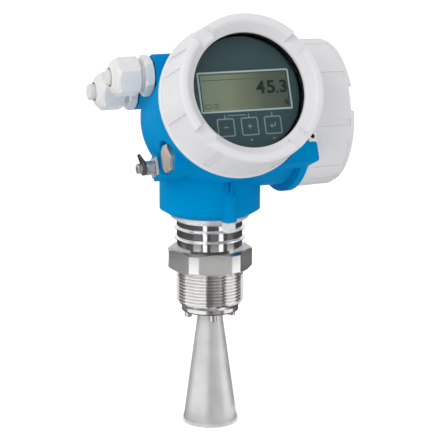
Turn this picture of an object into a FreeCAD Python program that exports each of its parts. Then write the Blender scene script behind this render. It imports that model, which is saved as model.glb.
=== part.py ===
# Free-space radar level transmitter with a horn antenna, a tilted two-chamber head and a local display.
# Millimetres, +Z up. The origin is the centre of the hexagon's lower face, which seals on the vessel.
# The display looks along -Y and 22 degrees up, the connection chamber opens along +X,
# and the two cable glands point along -X.
import FreeCAD, Part
import os
import Sketcher
from math import sqrt

VEC = FreeCAD.Vector

DIMENSIONS = {
    # Process connection, turned from one bar.
    "thread_radius": 23.9, "thread_length": 22.7, "thread_chamfer": 4.4,
    "lip_radius": 20.1, "lip_bottom": 30.4,
    "hex_across": 55, "hex_corner": 29.8, "hex_height": 15.4, "hex_bevel": 26.8, "hex_slope": 0.577,
    "hex_turn": 17.6,
    "core_radius": 23.4, "fin_radius": 25, "fin_thickness": 1.6, "fin_height": 21.8, "fin_spacing": 7.4,
    "collar_radius": 27.5, "collar_bottom": 34.7, "collar_edge": 37.5, "collar_top": 39.5,
    "spigot_radius": 24.6, "spigot_top": 63.5, "wave_bore": 6.6,
    "seal_height": 49.5, "seal_inner": 22.2, "seal_outer": 24.4, "seal_width": 2.2,
    # Horn antenna.
    "horn_throat": 8.25, "horn_end": 18.55, "horn_cone_bottom": 107,
    "horn_mouth": 20, "horn_bottom": 113.3, "horn_wall": 1.3,
    "horn_flange": 18.4, "horn_flange_bottom": 30.5, "horn_flange_thickness": 3.2,
    "horn_screw_circle": 15.4, "horn_screw_head": 2.7, "horn_screw_height": 4, "horn_screw_shank": 1.5,
    "horn_screw_length": 9, "horn_screw_turn": -13, "horn_washer": 2.6, "horn_washer_thickness": 1.2,
    "feed_tip": 56.5, "feed_tip_radius": 0.8, "feed_top": 18.5, "wave_wall": 1.5, "wave_top": 59.5,
    # Head: the housing's two chambers cross on the neck's axis.
    "axis_height": 106.5, "head_tilt": 21.8,
    "ball_radius": 48, "ball_cavity": 44, "barrel_radius": 49.5,
    "neck_radius": 35.3, "neck_bottom": 39.8, "neck_bottom_radius": 29.2, "neck_bevel": 3.8,
    "neck_bore": 24.9, "neck_bore_top": 73.5,
    "front_seat": 49.6, "side_seat": 55, "seat_gap": 0.4,
    "front_flange": 51, "side_flange": 54.5, "flange_thickness": 5, "flange_slope": 1.5,
    "spigot_ring": 46.6, "spigot_ring_length": 12,
    "chamber_bore": 43, "chamber_floor": 30, "chamber_wall": 4.2, "side_bore": 42,
    # Covers, alike on both chambers: four broad grips with a notch in front of each.
    "rim_radius": 52.5, "rim_length": 2.6, "wall_radius": 51.9, "thread_bore": 47, "thread_depth": 14,
    "inner_bore": 45, "groove_depth": 1, "groove_angle": 4, "groove_turn": 19,
    "sector_depth": 0.7, "sector_angle": 23, "sector_turn": 45, "crest_flat": 1.6, "crest_drop": 1.1,
    "front_length": 38.3, "front_taper": 2.3, "front_corner": 2.2, "front_crest": 43.6,
    "front_notch_width": 13, "front_notch_depth": 4.7, "front_cover_turn": 38.5,
    "window_edge": 38.1, "window_plane": 31.6, "lip_thickness": 2,
    "side_length": 32.9, "side_taper": 0.7, "side_corner": 4.5, "side_crest": 43.6,
    "side_notch_width": 17.5, "side_notch_depth": 3.6, "side_cover_turn": 3,
    "side_panel": 39.5, "side_panel_height": 29.1, "side_panel_thickness": 4,
    "seal_groove": 50, "seal_groove_start": 0.7, "seal_groove_width": 2.8, "cover_seal_gap": 0.4,
    # Window, display and electronics.
    "glass_radius": 41.8, "glass_thickness": 5, "gasket_thickness": 0.8, "gasket_edge": 0.5,
    "ring_inner": 39.2, "ring_outer": 43.8, "ring_thickness": 3.5,
    "display_face": 70.9, "bezel_radius": 38.5, "bezel_thickness": 5,
    "lcd_width": 60, "lcd_height": 25, "lcd_rise": 1.1, "lcd_thickness": 1.6,
    "case_radius": 40, "case_back": 50, "case_wall": 2,
    "module_radius": 42.2, "module_top": 48.5, "module_wall": 2, "board_radius": 39, "board_thickness": 1.6,
    "board_gap": 4, "module_screw_circle": 36, "module_screw_turn": 60,
    "module_screw_radius": 2.6, "module_screw_height": 1.2,
    "hf_radius": 20, "hf_height": 14,
    # Connection chamber.
    "block_start": 4, "block_length": 30, "block_depth": 16, "block_height": 34,
    "terminal_count": 4, "terminal_pitch": 7.6, "terminal_radius": 2.4, "terminal_height": 1.6,
    "earth_radius": 3.4, "earth_height": 5, "earth_rise": -24,
    # Cable glands.
    "gland_face": 45.4, "gland_spacing": 39.5, "gland_rise": 27.5, "gland_bore": 10.2,
    "gland_bore_depth": 16, "gland_spot_face": 14.8, "spot_face_depth": 9,
    "gland_block_depth": 64, "gland_block_bottom": 15, "gland_block_top": 40, "gland_block_round": 5,
    "gland_seal": 1, "gland_seal_radius": 12, "collar_across": 24.4, "collar_thickness": 6, "collar_turn": 20,
    "gland_thread": 9.9, "gland_thread_length": 11, "gland_stem": 9.6, "gland_stem_end": 22,
    "gland_hole": 7.6,
    "nut_start": 11.3, "nut_across": 24, "nut_length": 13.8, "nut_mouth": 6.6, "nut_bore": 9.95,
    "dome_length": 4.2, "dome_round": 8.2, "dome_flat": 0.9,
    "insert_radius": 7.2, "insert_start": 13, "insert_end": 27.4, "insert_bore": 5.9,
    "plug_radius": 5.5, "plug_start": 15, "plug_end": 31.4, "plug_round": 1.5, "rear_plug_out": 2.2,
    "plug_notch": 1.3, "notch_length": 5,
    # Lower left side: earth terminal and blanking plug.
    "pad_face": 46, "pad_width": 17, "pad_front": 7.5, "pad_rise": -33.5, "pad_round": 2.5,
    "washer_side": 12.5, "washer_thickness": 1.8, "clamp_thickness": 6.4, "clamp_radius": 5.4,
    "ground_screw_head": 4, "ground_screw_height": 5, "ground_screw_shank": 2.9, "ground_screw_length": 10,
    "ground_socket": 1.6, "ground_socket_depth": 3,
    "wing_length": 7.5, "wing_width": 5.5, "wing_thickness": 1.4, "wing_tilt": 22,
    "stopper_front": 24, "stopper_rise": -31, "stopper_boss": 12.2, "stopper_face": 41,
    "stopper_across": 18, "stopper_head": 3.4, "stopper_thread": 7.9, "stopper_length": 5,
    # Cover lock on the lug between the two chambers.
    "lug_start": 30, "lug_length": 24.6, "lug_back": 30, "lug_front": 52, "lug_bottom": -45, "lug_top": -31.6,
    "lug_round": 2.2, "lock_out": 51.7, "lock_rise": -27.8, "lock_back": 47, "lock_front": 53,
    "lock_radius": 2.9, "lock_hole": 1.7, "lock_pocket": 13, "finger_back": 49.8, "finger_thickness": 2.6,
    "finger_length": 6.4, "finger_width": 3.6, "finger_lean": 30,
    "lock_screw_radius": 1.4, "lock_screw_depth": 6, "lock_socket": 0.8,
    # Screw that holds the housing on the neck.
    "boss_radius": 5.4, "boss_out": 33, "boss_turn": 3,
    "boss_bottom": 40, "boss_shoulder": 57.5, "boss_top": 67.5,
    "bolt_across": 8.6, "bolt_height": 7.2, "bolt_shank": 2, "bolt_tip": 12, "bolt_hole": 2.4,
    # Gaps and small edges used throughout.
    "press_gap": 0.1, "hole_gap": 0.2, "clearance": 0.3, "edge": 0.6, "overrun": 1,
    "hex_reach": 2, "hex_chamfer": 1,
}

doc = FreeCAD.newDocument("level_transmitter")
sheet = doc.addObject("Spreadsheet::Sheet", "Sheet")


class Size:
    """A value from the sheet, or worked out from some, with the expression that binds it."""

    def __init__(self, value, text):
        self.value = value
        self.text = text

    def joined(self, sign, value, first, second):
        return Size(value, f"({text_of(first)} {sign} {text_of(second)})")

    def __add__(self, other):
        return self.joined("+", self.value + number(other), self, other)

    def __sub__(self, other):
        return self.joined("-", self.value - number(other), self, other)

    def __rsub__(self, other):
        return self.joined("-", number(other) - self.value, other, self)

    def __mul__(self, other):
        return self.joined("*", self.value * number(other), self, other)

    def __truediv__(self, other):
        return self.joined("/", self.value / number(other), self, other)

    def __neg__(self):
        return Size(-self.value, f"(0 - {self.text})")

    __radd__ = __add__
    __rmul__ = __mul__


class Dimensions:
    """The sheet's cells by alias."""

    def __getattr__(self, alias):
        return Size(DIMENSIONS[alias], f"Sheet.{alias}")


class Round:
    """An arc between two points of an outline: its radius, and the side on which it bulges."""

    def __init__(self, radius, side=1):
        self.radius = radius
        self.side = side


def number(size):
    return size.value if isinstance(size, Size) else float(size)


def text_of(size):
    return size.text if isinstance(size, Size) else str(size)


def fill_sheet():
    for row, (alias, value) in enumerate(DIMENSIONS.items(), start=1):
        sheet.set(f"A{row}", alias)
        sheet.set(f"B{row}", str(value))
        sheet.setAlias(f"B{row}", alias)
    doc.recompute()


def bind(owner, path, size):
    """Set a property to a size and keep it bound to the sheet."""
    if path in owner.PropertiesList:
        setattr(owner, path, number(size))
    if isinstance(size, Size):
        owner.setExpression(path, size.text)


def at(frame, x=0, y=0, z=0, axis=VEC(0, 0, 1), angle=0):
    """A placement inside a frame: moved first, then turned about one of its own axes."""
    turn = FreeCAD.Rotation(axis, number(angle))
    return frame.multiply(FreeCAD.Placement(VEC(number(x), number(y), number(z)), turn))


def origin_feature(body, role):
    return next(feature for feature in body.Origin.OriginFeatures if feature.Role == role)


def arc_between(start, end, radius, side):
    """The arc of a radius from start to end, and whether it runs counter-clockwise."""
    chord = end - start
    height = sqrt(max(radius ** 2 - (chord.Length / 2) ** 2, 0))
    normal = VEC(-chord.y, chord.x, 0).normalize() * side
    centre = (start + end) * 0.5 - normal * height
    middle = centre + normal * radius
    return Part.Arc(start, middle, end), side < 0


def draw(sketch, outline):
    """Draw a closed outline, with every point and radius constrained and bound to the sheet."""
    points = [entry for entry in outline if isinstance(entry, tuple)]
    rounds = {}
    for place, entry in enumerate(outline):
        if isinstance(entry, Round):
            rounds[sum(isinstance(e, tuple) for e in outline[:place]) - 1] = entry
    corners = [VEC(number(x), number(y), 0) for x, y in points]
    ends = []
    for i, start in enumerate(corners):
        end = corners[(i + 1) % len(corners)]
        if i in rounds:
            arc, ccw = arc_between(start, end, number(rounds[i].radius), rounds[i].side)
            sketch.addGeometry(arc)
            ends.append((1, 2) if ccw else (2, 1))
        else:
            sketch.addGeometry(Part.LineSegment(start, end))
            ends.append((1, 2))
    for i in range(len(corners)):
        j = (i + 1) % len(corners)
        sketch.addConstraint(Sketcher.Constraint("Coincident", i, ends[i][1], j, ends[j][0]))
    for i, (x, y) in enumerate(points):
        for kind, size in (("DistanceX", x), ("DistanceY", y)):
            rule = Sketcher.Constraint(kind, -1, 1, i, ends[i][0], number(size))
            bind_rule(sketch, sketch.addConstraint(rule), size)
    for i, entry in rounds.items():
        rule = Sketcher.Constraint("Radius", i, number(entry.radius))
        bind_rule(sketch, sketch.addConstraint(rule), entry.radius)


def bind_rule(sketch, index, size):
    if isinstance(size, Size):
        sketch.setExpression(f"Constraints[{index}]", size.text)


def sketch_in(body, name, outline, role="XZ_Plane", turn=0):
    """A sketch on one of a body's own planes, turned about the body's Z axis."""
    sketch = body.newObject("Sketcher::SketchObject", name)
    sketch.AttachmentSupport = [(origin_feature(body, role), "")]
    sketch.MapMode = "FlatFace"
    sketch.AttachmentOffset = FreeCAD.Placement(VEC(), FreeCAD.Rotation(VEC(0, 1, 0), number(turn)))
    draw(sketch, outline)
    return sketch


def revolved(label, outline, placement):
    """A body turned about its Z axis from an outline of (radius, height) points."""
    body = doc.addObject("PartDesign::Body", label)
    profile = sketch_in(body, f"{label}_profile", outline)
    turn = body.newObject("PartDesign::Revolution", f"{label}_turn")
    turn.Profile = profile
    turn.ReferenceAxis = (profile, ["V_Axis"])
    turn.Angle = 360
    body.Placement = placement
    return body


def ring_outline(inner, outer, bottom, top):
    return [(inner, bottom), (outer, bottom), (outer, top), (inner, top)]


def primitive(kind, name, placement, **sizes):
    shape = doc.addObject(f"Part::{kind}", name)
    for path, size in sizes.items():
        bind(shape, path, size)
    shape.Placement = placement
    return shape


def cylinder(name, placement, radius, height):
    return primitive("Cylinder", name, placement, Radius=radius, Height=height)


def hexagon(name, placement, across, height):
    prism = primitive("Prism", name, placement, Circumradius=across / sqrt(3), Height=height)
    prism.Polygon = 6
    return prism


def box(name, placement, length, width, height):
    return primitive("Box", name, placement, Length=length, Width=width, Height=height)


def rounded_box(name, placement, length, width, height, radius, axis=VEC(1, 0, 0)):
    """A box with its four edges along one of its axes rounded."""
    block = box(f"{name}_block", placement, length, width, height)
    doc.recompute()
    along = placement.Rotation.multVec(axis)
    fillet = doc.addObject("Part::Fillet", name)
    fillet.Base = block
    edges = enumerate(block.Shape.Edges, start=1)
    chosen = [i for i, edge in edges if edge.tangentAt(edge.FirstParameter).cross(along).Length < 1e-6]
    fillet.Edges = [(i, number(radius), number(radius)) for i in chosen]
    return fillet


def fused(name, shapes):
    fusion = doc.addObject("Part::MultiFuse", name)
    fusion.Shapes = shapes
    return fusion


def cut(name, base, tools):
    """The base less its tools."""
    removal = doc.addObject("Part::Cut", name)
    removal.Base = base
    removal.Tool = tools[0] if len(tools) == 1 else fused(f"{name}_tools", tools)
    return removal


def common(name, shapes):
    shared = doc.addObject("Part::MultiCommon", name)
    shared.Shapes = shapes
    return shared


fill_sheet()
d = Dimensions()

WORLD = FreeCAD.Placement()
HEAD = FreeCAD.Placement(VEC(0, 0, d.axis_height.value), FreeCAD.Rotation(VEC(1, 0, 0), -d.head_tilt.value))
# In each chamber's frame, Z runs out along the chamber's axis.
FRONT = at(HEAD, axis=VEC(1, 0, 0), angle=90)
SIDE = at(HEAD, axis=VEC(0, 1, 0), angle=90)
# In the left side's frame, Z runs out along -X, X runs up and Y runs to the back.
LEFT = at(HEAD, axis=VEC(0, 1, 0), angle=-90)

nodes = []


def node(label, shape):
    """Name an object as one piece of the part."""
    shape.Label = label
    nodes.append(shape)
    return shape


def horn_screw_frames():
    step = 90
    for i in range(4):
        turn = FreeCAD.Placement(VEC(), FreeCAD.Rotation(VEC(0, 0, 1), d.horn_screw_turn.value + step * i))
        yield at(turn, y=-d.horn_screw_circle)


def make_process_connection():
    fin_top = d.fin_height + d.fin_thickness
    groove = d.seal_inner - d.press_gap
    half = d.seal_width / 2 + d.hole_gap
    outline = [
        (d.wave_bore, -d.lip_bottom), (d.lip_radius, -d.lip_bottom),
        (d.lip_radius, -d.thread_length - d.thread_chamfer), (d.thread_radius, -d.thread_length),
        (d.thread_radius, 0), (d.core_radius, 0), (d.core_radius, d.fin_height),
        (d.fin_radius, d.fin_height), (d.fin_radius, fin_top), (d.core_radius, fin_top),
        (d.core_radius, d.fin_height + d.fin_spacing), (d.fin_radius, d.fin_height + d.fin_spacing),
        (d.fin_radius, fin_top + d.fin_spacing), (d.core_radius, fin_top + d.fin_spacing),
        (d.core_radius, d.collar_bottom), (d.collar_radius, d.collar_edge),
        (d.collar_radius, d.collar_top), (d.spigot_radius, d.collar_top),
        (d.spigot_radius, d.seal_height - half), (groove, d.seal_height - half),
        (groove, d.seal_height + half), (d.spigot_radius, d.seal_height + half),
        (d.spigot_radius, d.spigot_top), (d.wave_bore, d.spigot_top),
    ]
    stem = revolved("connection_stem", outline, WORLD)
    nut = hexagon("connection_hex", at(WORLD, angle=d.hex_turn - 90), d.hex_across, d.hex_height)
    bevel = (d.hex_corner - d.hex_bevel) * d.hex_slope
    limit = revolved("connection_bevel", [
        (0, 0), (d.hex_bevel, 0), (d.hex_corner, bevel), (d.hex_corner, d.hex_height - bevel),
        (d.hex_bevel, d.hex_height), (0, d.hex_height),
    ], WORLD)
    flats = common("connection_flats", [nut, limit])
    bore = cylinder("connection_bore", at(WORLD, z=-d.lip_bottom), d.wave_bore, d.lip_bottom + d.spigot_top)
    seat_depth = d.lip_bottom - d.horn_flange_bottom + d.horn_flange_thickness
    seat = cylinder("horn_seat", at(WORLD, z=-d.lip_bottom), d.horn_flange + d.hole_gap, seat_depth)
    holes = []
    for i, frame in enumerate(horn_screw_frames()):
        start = at(frame, z=-d.horn_flange_bottom)
        radius = d.horn_screw_shank + d.press_gap
        holes.append(cylinder(f"tapped_hole_{i}", start, radius, d.horn_screw_length))
    node("process_connection", cut("connection_cut", fused("connection_blank", [stem, flats]),
                                   [bore, seat] + holes))
    seal_bottom = d.seal_height - d.seal_width / 2
    node("neck_seal", revolved("neck_seal_ring", ring_outline(
        d.seal_inner, d.seal_outer, seal_bottom, seal_bottom + d.seal_width), WORLD))


def make_horn():
    bottom = -d.horn_flange_bottom
    top = bottom + d.horn_flange_thickness
    wall = d.horn_wall
    shell = revolved("horn_shell", [
        (d.wave_bore, top), (d.horn_flange, top), (d.horn_flange, bottom), (d.horn_throat, bottom),
        (d.horn_end, -d.horn_cone_bottom), (d.horn_mouth, -d.horn_bottom),
        (d.horn_mouth - wall, -d.horn_bottom), (d.horn_end - wall, -d.horn_cone_bottom),
        (d.horn_throat - wall, bottom), (d.wave_bore, bottom),
    ], WORLD)
    under = bottom - d.horn_washer_thickness
    holes = []
    screws = []
    washers = []
    for i, frame in enumerate(horn_screw_frames()):
        hole = d.horn_screw_shank + d.hole_gap
        holes.append(cylinder(f"flange_hole_{i}", at(frame, z=bottom), hole, d.horn_flange_thickness))
        head = cylinder(f"screw_head_{i}", at(frame, z=under - d.horn_screw_height),
                        d.horn_screw_head, d.horn_screw_height)
        shank = cylinder(f"screw_shank_{i}", at(frame, z=under), d.horn_screw_shank, d.horn_screw_length)
        screws.append(fused(f"screw_{i}", [head, shank]))
        washers.append(revolved(f"screw_washer_{i}", ring_outline(hole, d.horn_washer, under, bottom), frame))
    node("horn", cut("horn_cut", shell, holes))
    node("horn_screws", fused("horn_screw_set", screws))
    node("horn_washers", fused("horn_washer_set", washers))
    feed_radius = d.wave_bore - d.press_gap
    node("feed_cone", revolved("feed_cone_body", [
        (0, -d.feed_top), (feed_radius, -d.feed_top), (feed_radius, -d.lip_bottom),
        (d.feed_tip_radius, -d.feed_tip), (0, -d.feed_tip),
    ], WORLD))
    node("waveguide", revolved("waveguide_body", ring_outline(
        feed_radius - d.wave_wall, feed_radius, d.hole_gap - d.feed_top, d.wave_top), WORLD))


def boss_frame():
    turn = FreeCAD.Placement(VEC(), FreeCAD.Rotation(VEC(0, 0, 1), d.boss_turn.value))
    return at(turn, y=-d.boss_out)


def lock_frame():
    """The cover lock's screw points into the flange, along the display's axis."""
    return at(FRONT, x=d.lock_out, y=d.lock_rise, z=d.lock_back)


def gland_frames():
    for name, front in (("front", 0.5), ("rear", -0.5)):
        yield name, at(LEFT, x=d.gland_rise, y=-d.gland_spacing * front, z=d.gland_face)


def pad_frame():
    return at(LEFT, x=d.pad_rise, y=-d.pad_front, z=d.pad_face)


def stopper_frame():
    return at(LEFT, x=d.stopper_rise, y=-d.stopper_front, z=d.stopper_face)


def chamber_outside(name, frame, seat, flange):
    """One chamber's barrel with its flange and the ring that carries the cover's thread."""
    face = seat - d.seat_gap
    return revolved(name, [
        (0, 0), (d.barrel_radius, 0), (d.barrel_radius, face - d.flange_thickness - d.flange_slope),
        (flange, face - d.flange_thickness), (flange, face), (d.spigot_ring, face),
        (d.spigot_ring, face + d.spigot_ring_length), (0, face + d.spigot_ring_length),
    ], frame)


def housing_outside():
    ball = primitive("Sphere", "housing_ball", HEAD, Radius=d.ball_radius)
    front = chamber_outside("front_barrel", FRONT, d.front_seat, d.front_flange)
    side = chamber_outside("side_barrel", SIDE, d.side_seat, d.side_flange)
    neck = revolved("housing_neck", [
        (0, d.neck_bottom), (d.neck_bottom_radius, d.neck_bottom),
        (d.neck_radius, d.neck_bottom + d.neck_bevel), (d.neck_radius, d.axis_height), (0, d.axis_height),
    ], WORLD)
    block_place = at(HEAD, x=-d.gland_face, y=-d.gland_block_depth / 2, z=d.gland_block_bottom)
    block = rounded_box("gland_block", block_place, d.gland_face, d.gland_block_depth,
                        d.gland_block_top - d.gland_block_bottom, d.gland_block_round)
    lug_place = at(HEAD, x=d.lug_start, y=-d.lug_front, z=d.lug_bottom)
    lug = rounded_box("lug", lug_place, d.lug_length, d.lug_front - d.lug_back,
                      d.lug_top - d.lug_bottom, d.lug_round, VEC(0, 1, 0))
    boss = revolved("lock_boss", [
        (0, d.boss_bottom), (d.boss_radius, d.boss_bottom), (d.boss_radius, d.boss_shoulder), (0, d.boss_top),
    ], boss_frame())
    pad = rounded_box("ground_pad", at(HEAD, x=-d.pad_face, y=-d.pad_front - d.pad_width / 2,
                                       z=d.pad_rise - d.pad_width / 2),
                      d.pad_face, d.pad_width, d.pad_width, d.pad_round)
    plug_boss = cylinder("stopper_boss_blank", at(stopper_frame(), z=-d.stopper_face),
                         d.stopper_boss, d.stopper_face)
    cover_room = cylinder("front_cover_room", at(FRONT, z=d.front_seat - d.seat_gap),
                          d.rim_radius + d.edge, d.lug_front)
    rest_blank = fused("housing_rest_blank", [ball, side, neck, block, lug, boss, pad, plug_boss])
    rest = cut("housing_rest", rest_blank, [cover_room] + spot_faces("rest_"))
    return fused("housing_blank", [cut("front_barrel_faced", front, spot_faces("front_")), rest])


def spot_faces(prefix):
    """Flat seats, cut into the round barrels, for the glands and for the blanking plug's head."""
    faces = [cylinder(f"{prefix}gland_seat_{name}", frame, d.gland_spot_face, d.spot_face_depth)
             for name, frame in gland_frames()]
    return faces + [cylinder(f"{prefix}stopper_seat", stopper_frame(), d.stopper_boss, d.spot_face_depth)]


def housing_inside():
    cavity = fused("connection_cavity", [
        primitive("Sphere", "cavity_ball", HEAD, Radius=d.ball_cavity),
        cylinder("side_chamber", SIDE, d.side_bore, d.side_seat + d.spigot_ring_length),
    ])
    wall = cylinder("front_chamber_wall", at(FRONT, z=d.chamber_floor - d.chamber_wall),
                    d.chamber_bore + d.chamber_wall, d.front_seat)
    rear = cut("connection_chamber", cavity, [wall])
    front = cylinder("front_chamber", at(FRONT, z=d.chamber_floor), d.chamber_bore, d.front_seat)
    neck = cylinder("neck_chamber", at(WORLD, z=d.neck_bottom), d.neck_bore, d.neck_bore_top - d.neck_bottom)
    gland_depth = d.gland_bore_depth
    holes = [cylinder(f"gland_hole_{name}", at(frame, z=-gland_depth), d.gland_bore, gland_depth)
             for name, frame in gland_frames()]
    stopper_depth = d.stopper_length + d.edge
    stopper = cylinder("stopper_hole", at(stopper_frame(), z=-stopper_depth),
                       d.stopper_thread + d.hole_gap, stopper_depth)
    ground = cylinder("ground_hole", at(pad_frame(), z=-d.ground_screw_length),
                      d.ground_screw_shank + d.clearance, d.ground_screw_length)
    lock_depth = d.lock_screw_depth + d.overrun
    lock = cylinder("lock_screw_hole", at(lock_frame(), z=-lock_depth), d.lock_hole, lock_depth)
    pocket = box("lock_pocket_cut", at(lock_frame(), x=-d.lock_radius - d.edge, y=d.lug_top - d.lock_rise),
                 d.lock_pocket, d.lock_pocket, d.lock_pocket)
    bolt = cylinder("bolt_hole_cut", at(boss_frame(), z=d.boss_bottom), d.bolt_hole, d.bolt_tip + d.overrun)
    return [rear, front, neck, stopper, ground, lock, pocket, bolt] + holes


def make_housing():
    """The casting, with the connection chamber's flange and thread ring as a piece of their own."""
    casting = cut("housing_casting", housing_outside(), housing_inside())
    ring_start = d.side_seat - d.seat_gap - d.flange_thickness - d.flange_slope
    ring_end = d.side_seat + d.spigot_ring_length
    ring = cylinder("side_flange_room", at(SIDE, z=ring_start), d.side_flange, ring_end - ring_start)
    node("housing", cut("housing_solid", casting, [ring]))
    node("side_flange", common("side_flange_solid", [casting, ring]))


def cover_outline(length, crest, taper, corner):
    """The outside of a cover, from its rim round the crest of its front ring."""
    front_wall = d.wall_radius - taper
    return [
        (d.thread_bore, 0), (d.rim_radius, 0), (d.rim_radius, d.rim_length),
        (d.wall_radius, d.rim_length + d.edge), (front_wall, length - corner),
        Round(corner + d.press_gap, -1), (front_wall - corner, length),
        (crest + d.crest_flat, length), (crest, length - d.crest_drop),
    ]


def seal_seat():
    top = d.seal_groove_start + d.seal_groove_width
    return [(d.thread_bore, top), (d.seal_groove, top), (d.seal_groove, d.seal_groove_start),
            (d.thread_bore, d.seal_groove_start)]


def finish_cover(body, label, length, taper, corner, notch_width, notch_depth):
    """Cut the grip pattern: a notch in the ring before each grip, grooves beside it, sectors between."""
    top = length - corner
    low = d.rim_length + d.edge
    inner = d.wall_radius - taper
    outer = d.rim_radius + d.overrun
    cuts = []
    for name, turn, angle, depth in (("left", -d.groove_turn, d.groove_angle, d.groove_depth),
                                     ("right", d.groove_turn, d.groove_angle, d.groove_depth),
                                     ("sector", d.sector_turn, d.sector_angle, d.sector_depth)):
        outline = [(d.wall_radius - depth, low), (outer, low), (outer, top), (inner - depth, top)]
        groove = body.newObject("PartDesign::Groove", f"{label}_{name}")
        groove.Profile = sketch_in(body, f"{label}_{name}_sketch", outline, turn=turn)
        groove.ReferenceAxis = (groove.Profile[0], ["V_Axis"])
        bind(groove, "Angle", angle)
        groove.Midplane = True
        cuts.append(groove)
    half = notch_width / 2
    floor = length - notch_depth
    notch_sketch = sketch_in(body, f"{label}_notch_sketch", [
        (-half, floor), (half, floor), (half, length + d.overrun), (-half, length + d.overrun),
    ], role="YZ_Plane")
    notch = body.newObject("PartDesign::Pocket", f"{label}_notch")
    notch.Profile = notch_sketch
    notch.Type = "Length"
    bind(notch, "Length", outer)
    notch.Reversed = True
    cuts.append(notch)
    pattern = body.newObject("PartDesign::PolarPattern", f"{label}_grips")
    pattern.Originals = cuts
    pattern.Axis = (origin_feature(body, "Z_Axis"), [""])
    pattern.Angle = 360
    pattern.Occurrences = 4
    body.Tip = pattern


def make_front_cover():
    frame = at(FRONT, z=d.front_seat, angle=d.front_cover_turn)
    seat = d.window_plane - d.lip_thickness
    glass_top = seat - d.gasket_thickness
    glass_bottom = glass_top - d.glass_thickness
    ring_bottom = glass_bottom - d.ring_thickness
    pocket = d.glass_radius + d.clearance
    ring_pocket = d.ring_outer + d.press_gap
    shell = cover_outline(d.front_length, d.front_crest, d.front_taper, d.front_corner)
    cover = revolved("front_cover_body", shell + [
        (d.window_edge, d.window_plane), (d.window_edge, seat), (pocket, seat), (pocket, glass_bottom),
        (ring_pocket, glass_bottom), (ring_pocket, ring_bottom), (d.inner_bore, ring_bottom),
        (d.inner_bore, d.thread_depth), (d.thread_bore, d.thread_depth),
    ] + seal_seat(), frame)
    finish_cover(cover, "front_grip", d.front_length, d.front_taper, d.front_corner,
                 d.front_notch_width, d.front_notch_depth)
    node("front_cover", cover)
    node("window_gasket", revolved("window_gasket_body", ring_outline(
        d.window_edge + d.gasket_edge, d.glass_radius, glass_top, seat), frame))
    node("front_window", revolved("front_window_body", ring_outline(
        0, d.glass_radius, glass_bottom, glass_top), frame))
    node("window_ring", revolved("window_ring_body", ring_outline(
        d.ring_inner, d.ring_outer, ring_bottom, glass_bottom), frame))


def make_side_cover():
    frame = at(SIDE, z=d.side_seat, angle=d.side_cover_turn)
    inside = d.side_panel_height - d.side_panel_thickness
    shell = cover_outline(d.side_length, d.side_crest, d.side_taper, d.side_corner)
    cover = revolved("side_cover_body", shell + [
        (d.side_panel, d.side_panel_height), (0, d.side_panel_height), (0, inside),
        (d.inner_bore, inside), (d.inner_bore, d.thread_depth), (d.thread_bore, d.thread_depth),
    ] + seal_seat(), frame)
    finish_cover(cover, "side_grip", d.side_length, d.side_taper, d.side_corner,
                 d.side_notch_width, d.side_notch_depth)
    node("side_cover", cover)


def make_cover_seals():
    gap = d.cover_seal_gap
    for name, frame in (("front", at(FRONT, z=d.front_seat)), ("side", at(SIDE, z=d.side_seat))):
        start = d.seal_groove_start + gap
        node(f"{name}_cover_seal", revolved(f"{name}_seal_body", ring_outline(
            d.thread_bore + gap, d.seal_groove - gap, start, start + d.seal_groove_width - gap * 2), frame))


def make_display():
    back = d.display_face - d.bezel_thickness
    width = d.lcd_width
    height = d.lcd_height
    disc = revolved("bezel_disc", [
        (0, back), (d.bezel_radius, back), (d.bezel_radius, d.display_face - d.edge),
        (d.bezel_radius - d.edge, d.display_face), (0, d.display_face),
    ], FRONT)
    gap = d.press_gap
    floor = d.display_face - d.lcd_thickness
    corner = at(FRONT, x=-width / 2 - gap, y=d.lcd_rise - height / 2 - gap, z=floor)
    window = box("lcd_recess", corner, width + gap * 2, height + gap * 2, d.lcd_thickness)
    node("display_bezel", cut("display_bezel_cut", disc, [window]))
    panel_place = at(FRONT, x=-width / 2, y=d.lcd_rise - height / 2, z=floor)
    node("lcd_panel", box("lcd_panel_box", panel_place, width, height, d.lcd_thickness - d.clearance))
    node("display_case", revolved("display_case_body", [
        (0, back - d.case_wall), (d.case_radius - d.case_wall, back - d.case_wall),
        (d.case_radius - d.case_wall, d.case_back), (d.case_radius, d.case_back),
        (d.case_radius, back - d.case_wall), (d.bezel_radius, back), (0, back),
    ], FRONT))


def make_electronics():
    floor = d.chamber_floor
    wall = d.module_wall
    inner = d.module_radius - wall
    board_bottom = d.module_top - wall - d.board_gap
    node("electronics_module", revolved("electronics_module_body", [
        (inner, floor), (d.module_radius, floor), (d.module_radius, d.module_top), (0, d.module_top),
        (0, d.module_top - wall), (inner, d.module_top - wall),
    ], FRONT))
    board_place = at(FRONT, z=board_bottom)
    node("main_board", cylinder("main_board_disc", board_place, d.board_radius, d.board_thickness))
    screws = []
    for i, half_turn in enumerate((0, 180)):
        turned = at(FRONT, angle=d.module_screw_turn + half_turn)
        place = at(turned, x=d.module_screw_circle, z=d.module_top)
        screws.append(cylinder(f"module_screw_{i}", place, d.module_screw_radius, d.module_screw_height))
    node("module_screws", fused("module_screw_set", screws))
    hf_place = at(WORLD, z=d.spigot_top)
    node("hf_module", cylinder("hf_module_body", hf_place, d.hf_radius, d.hf_height))


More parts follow.
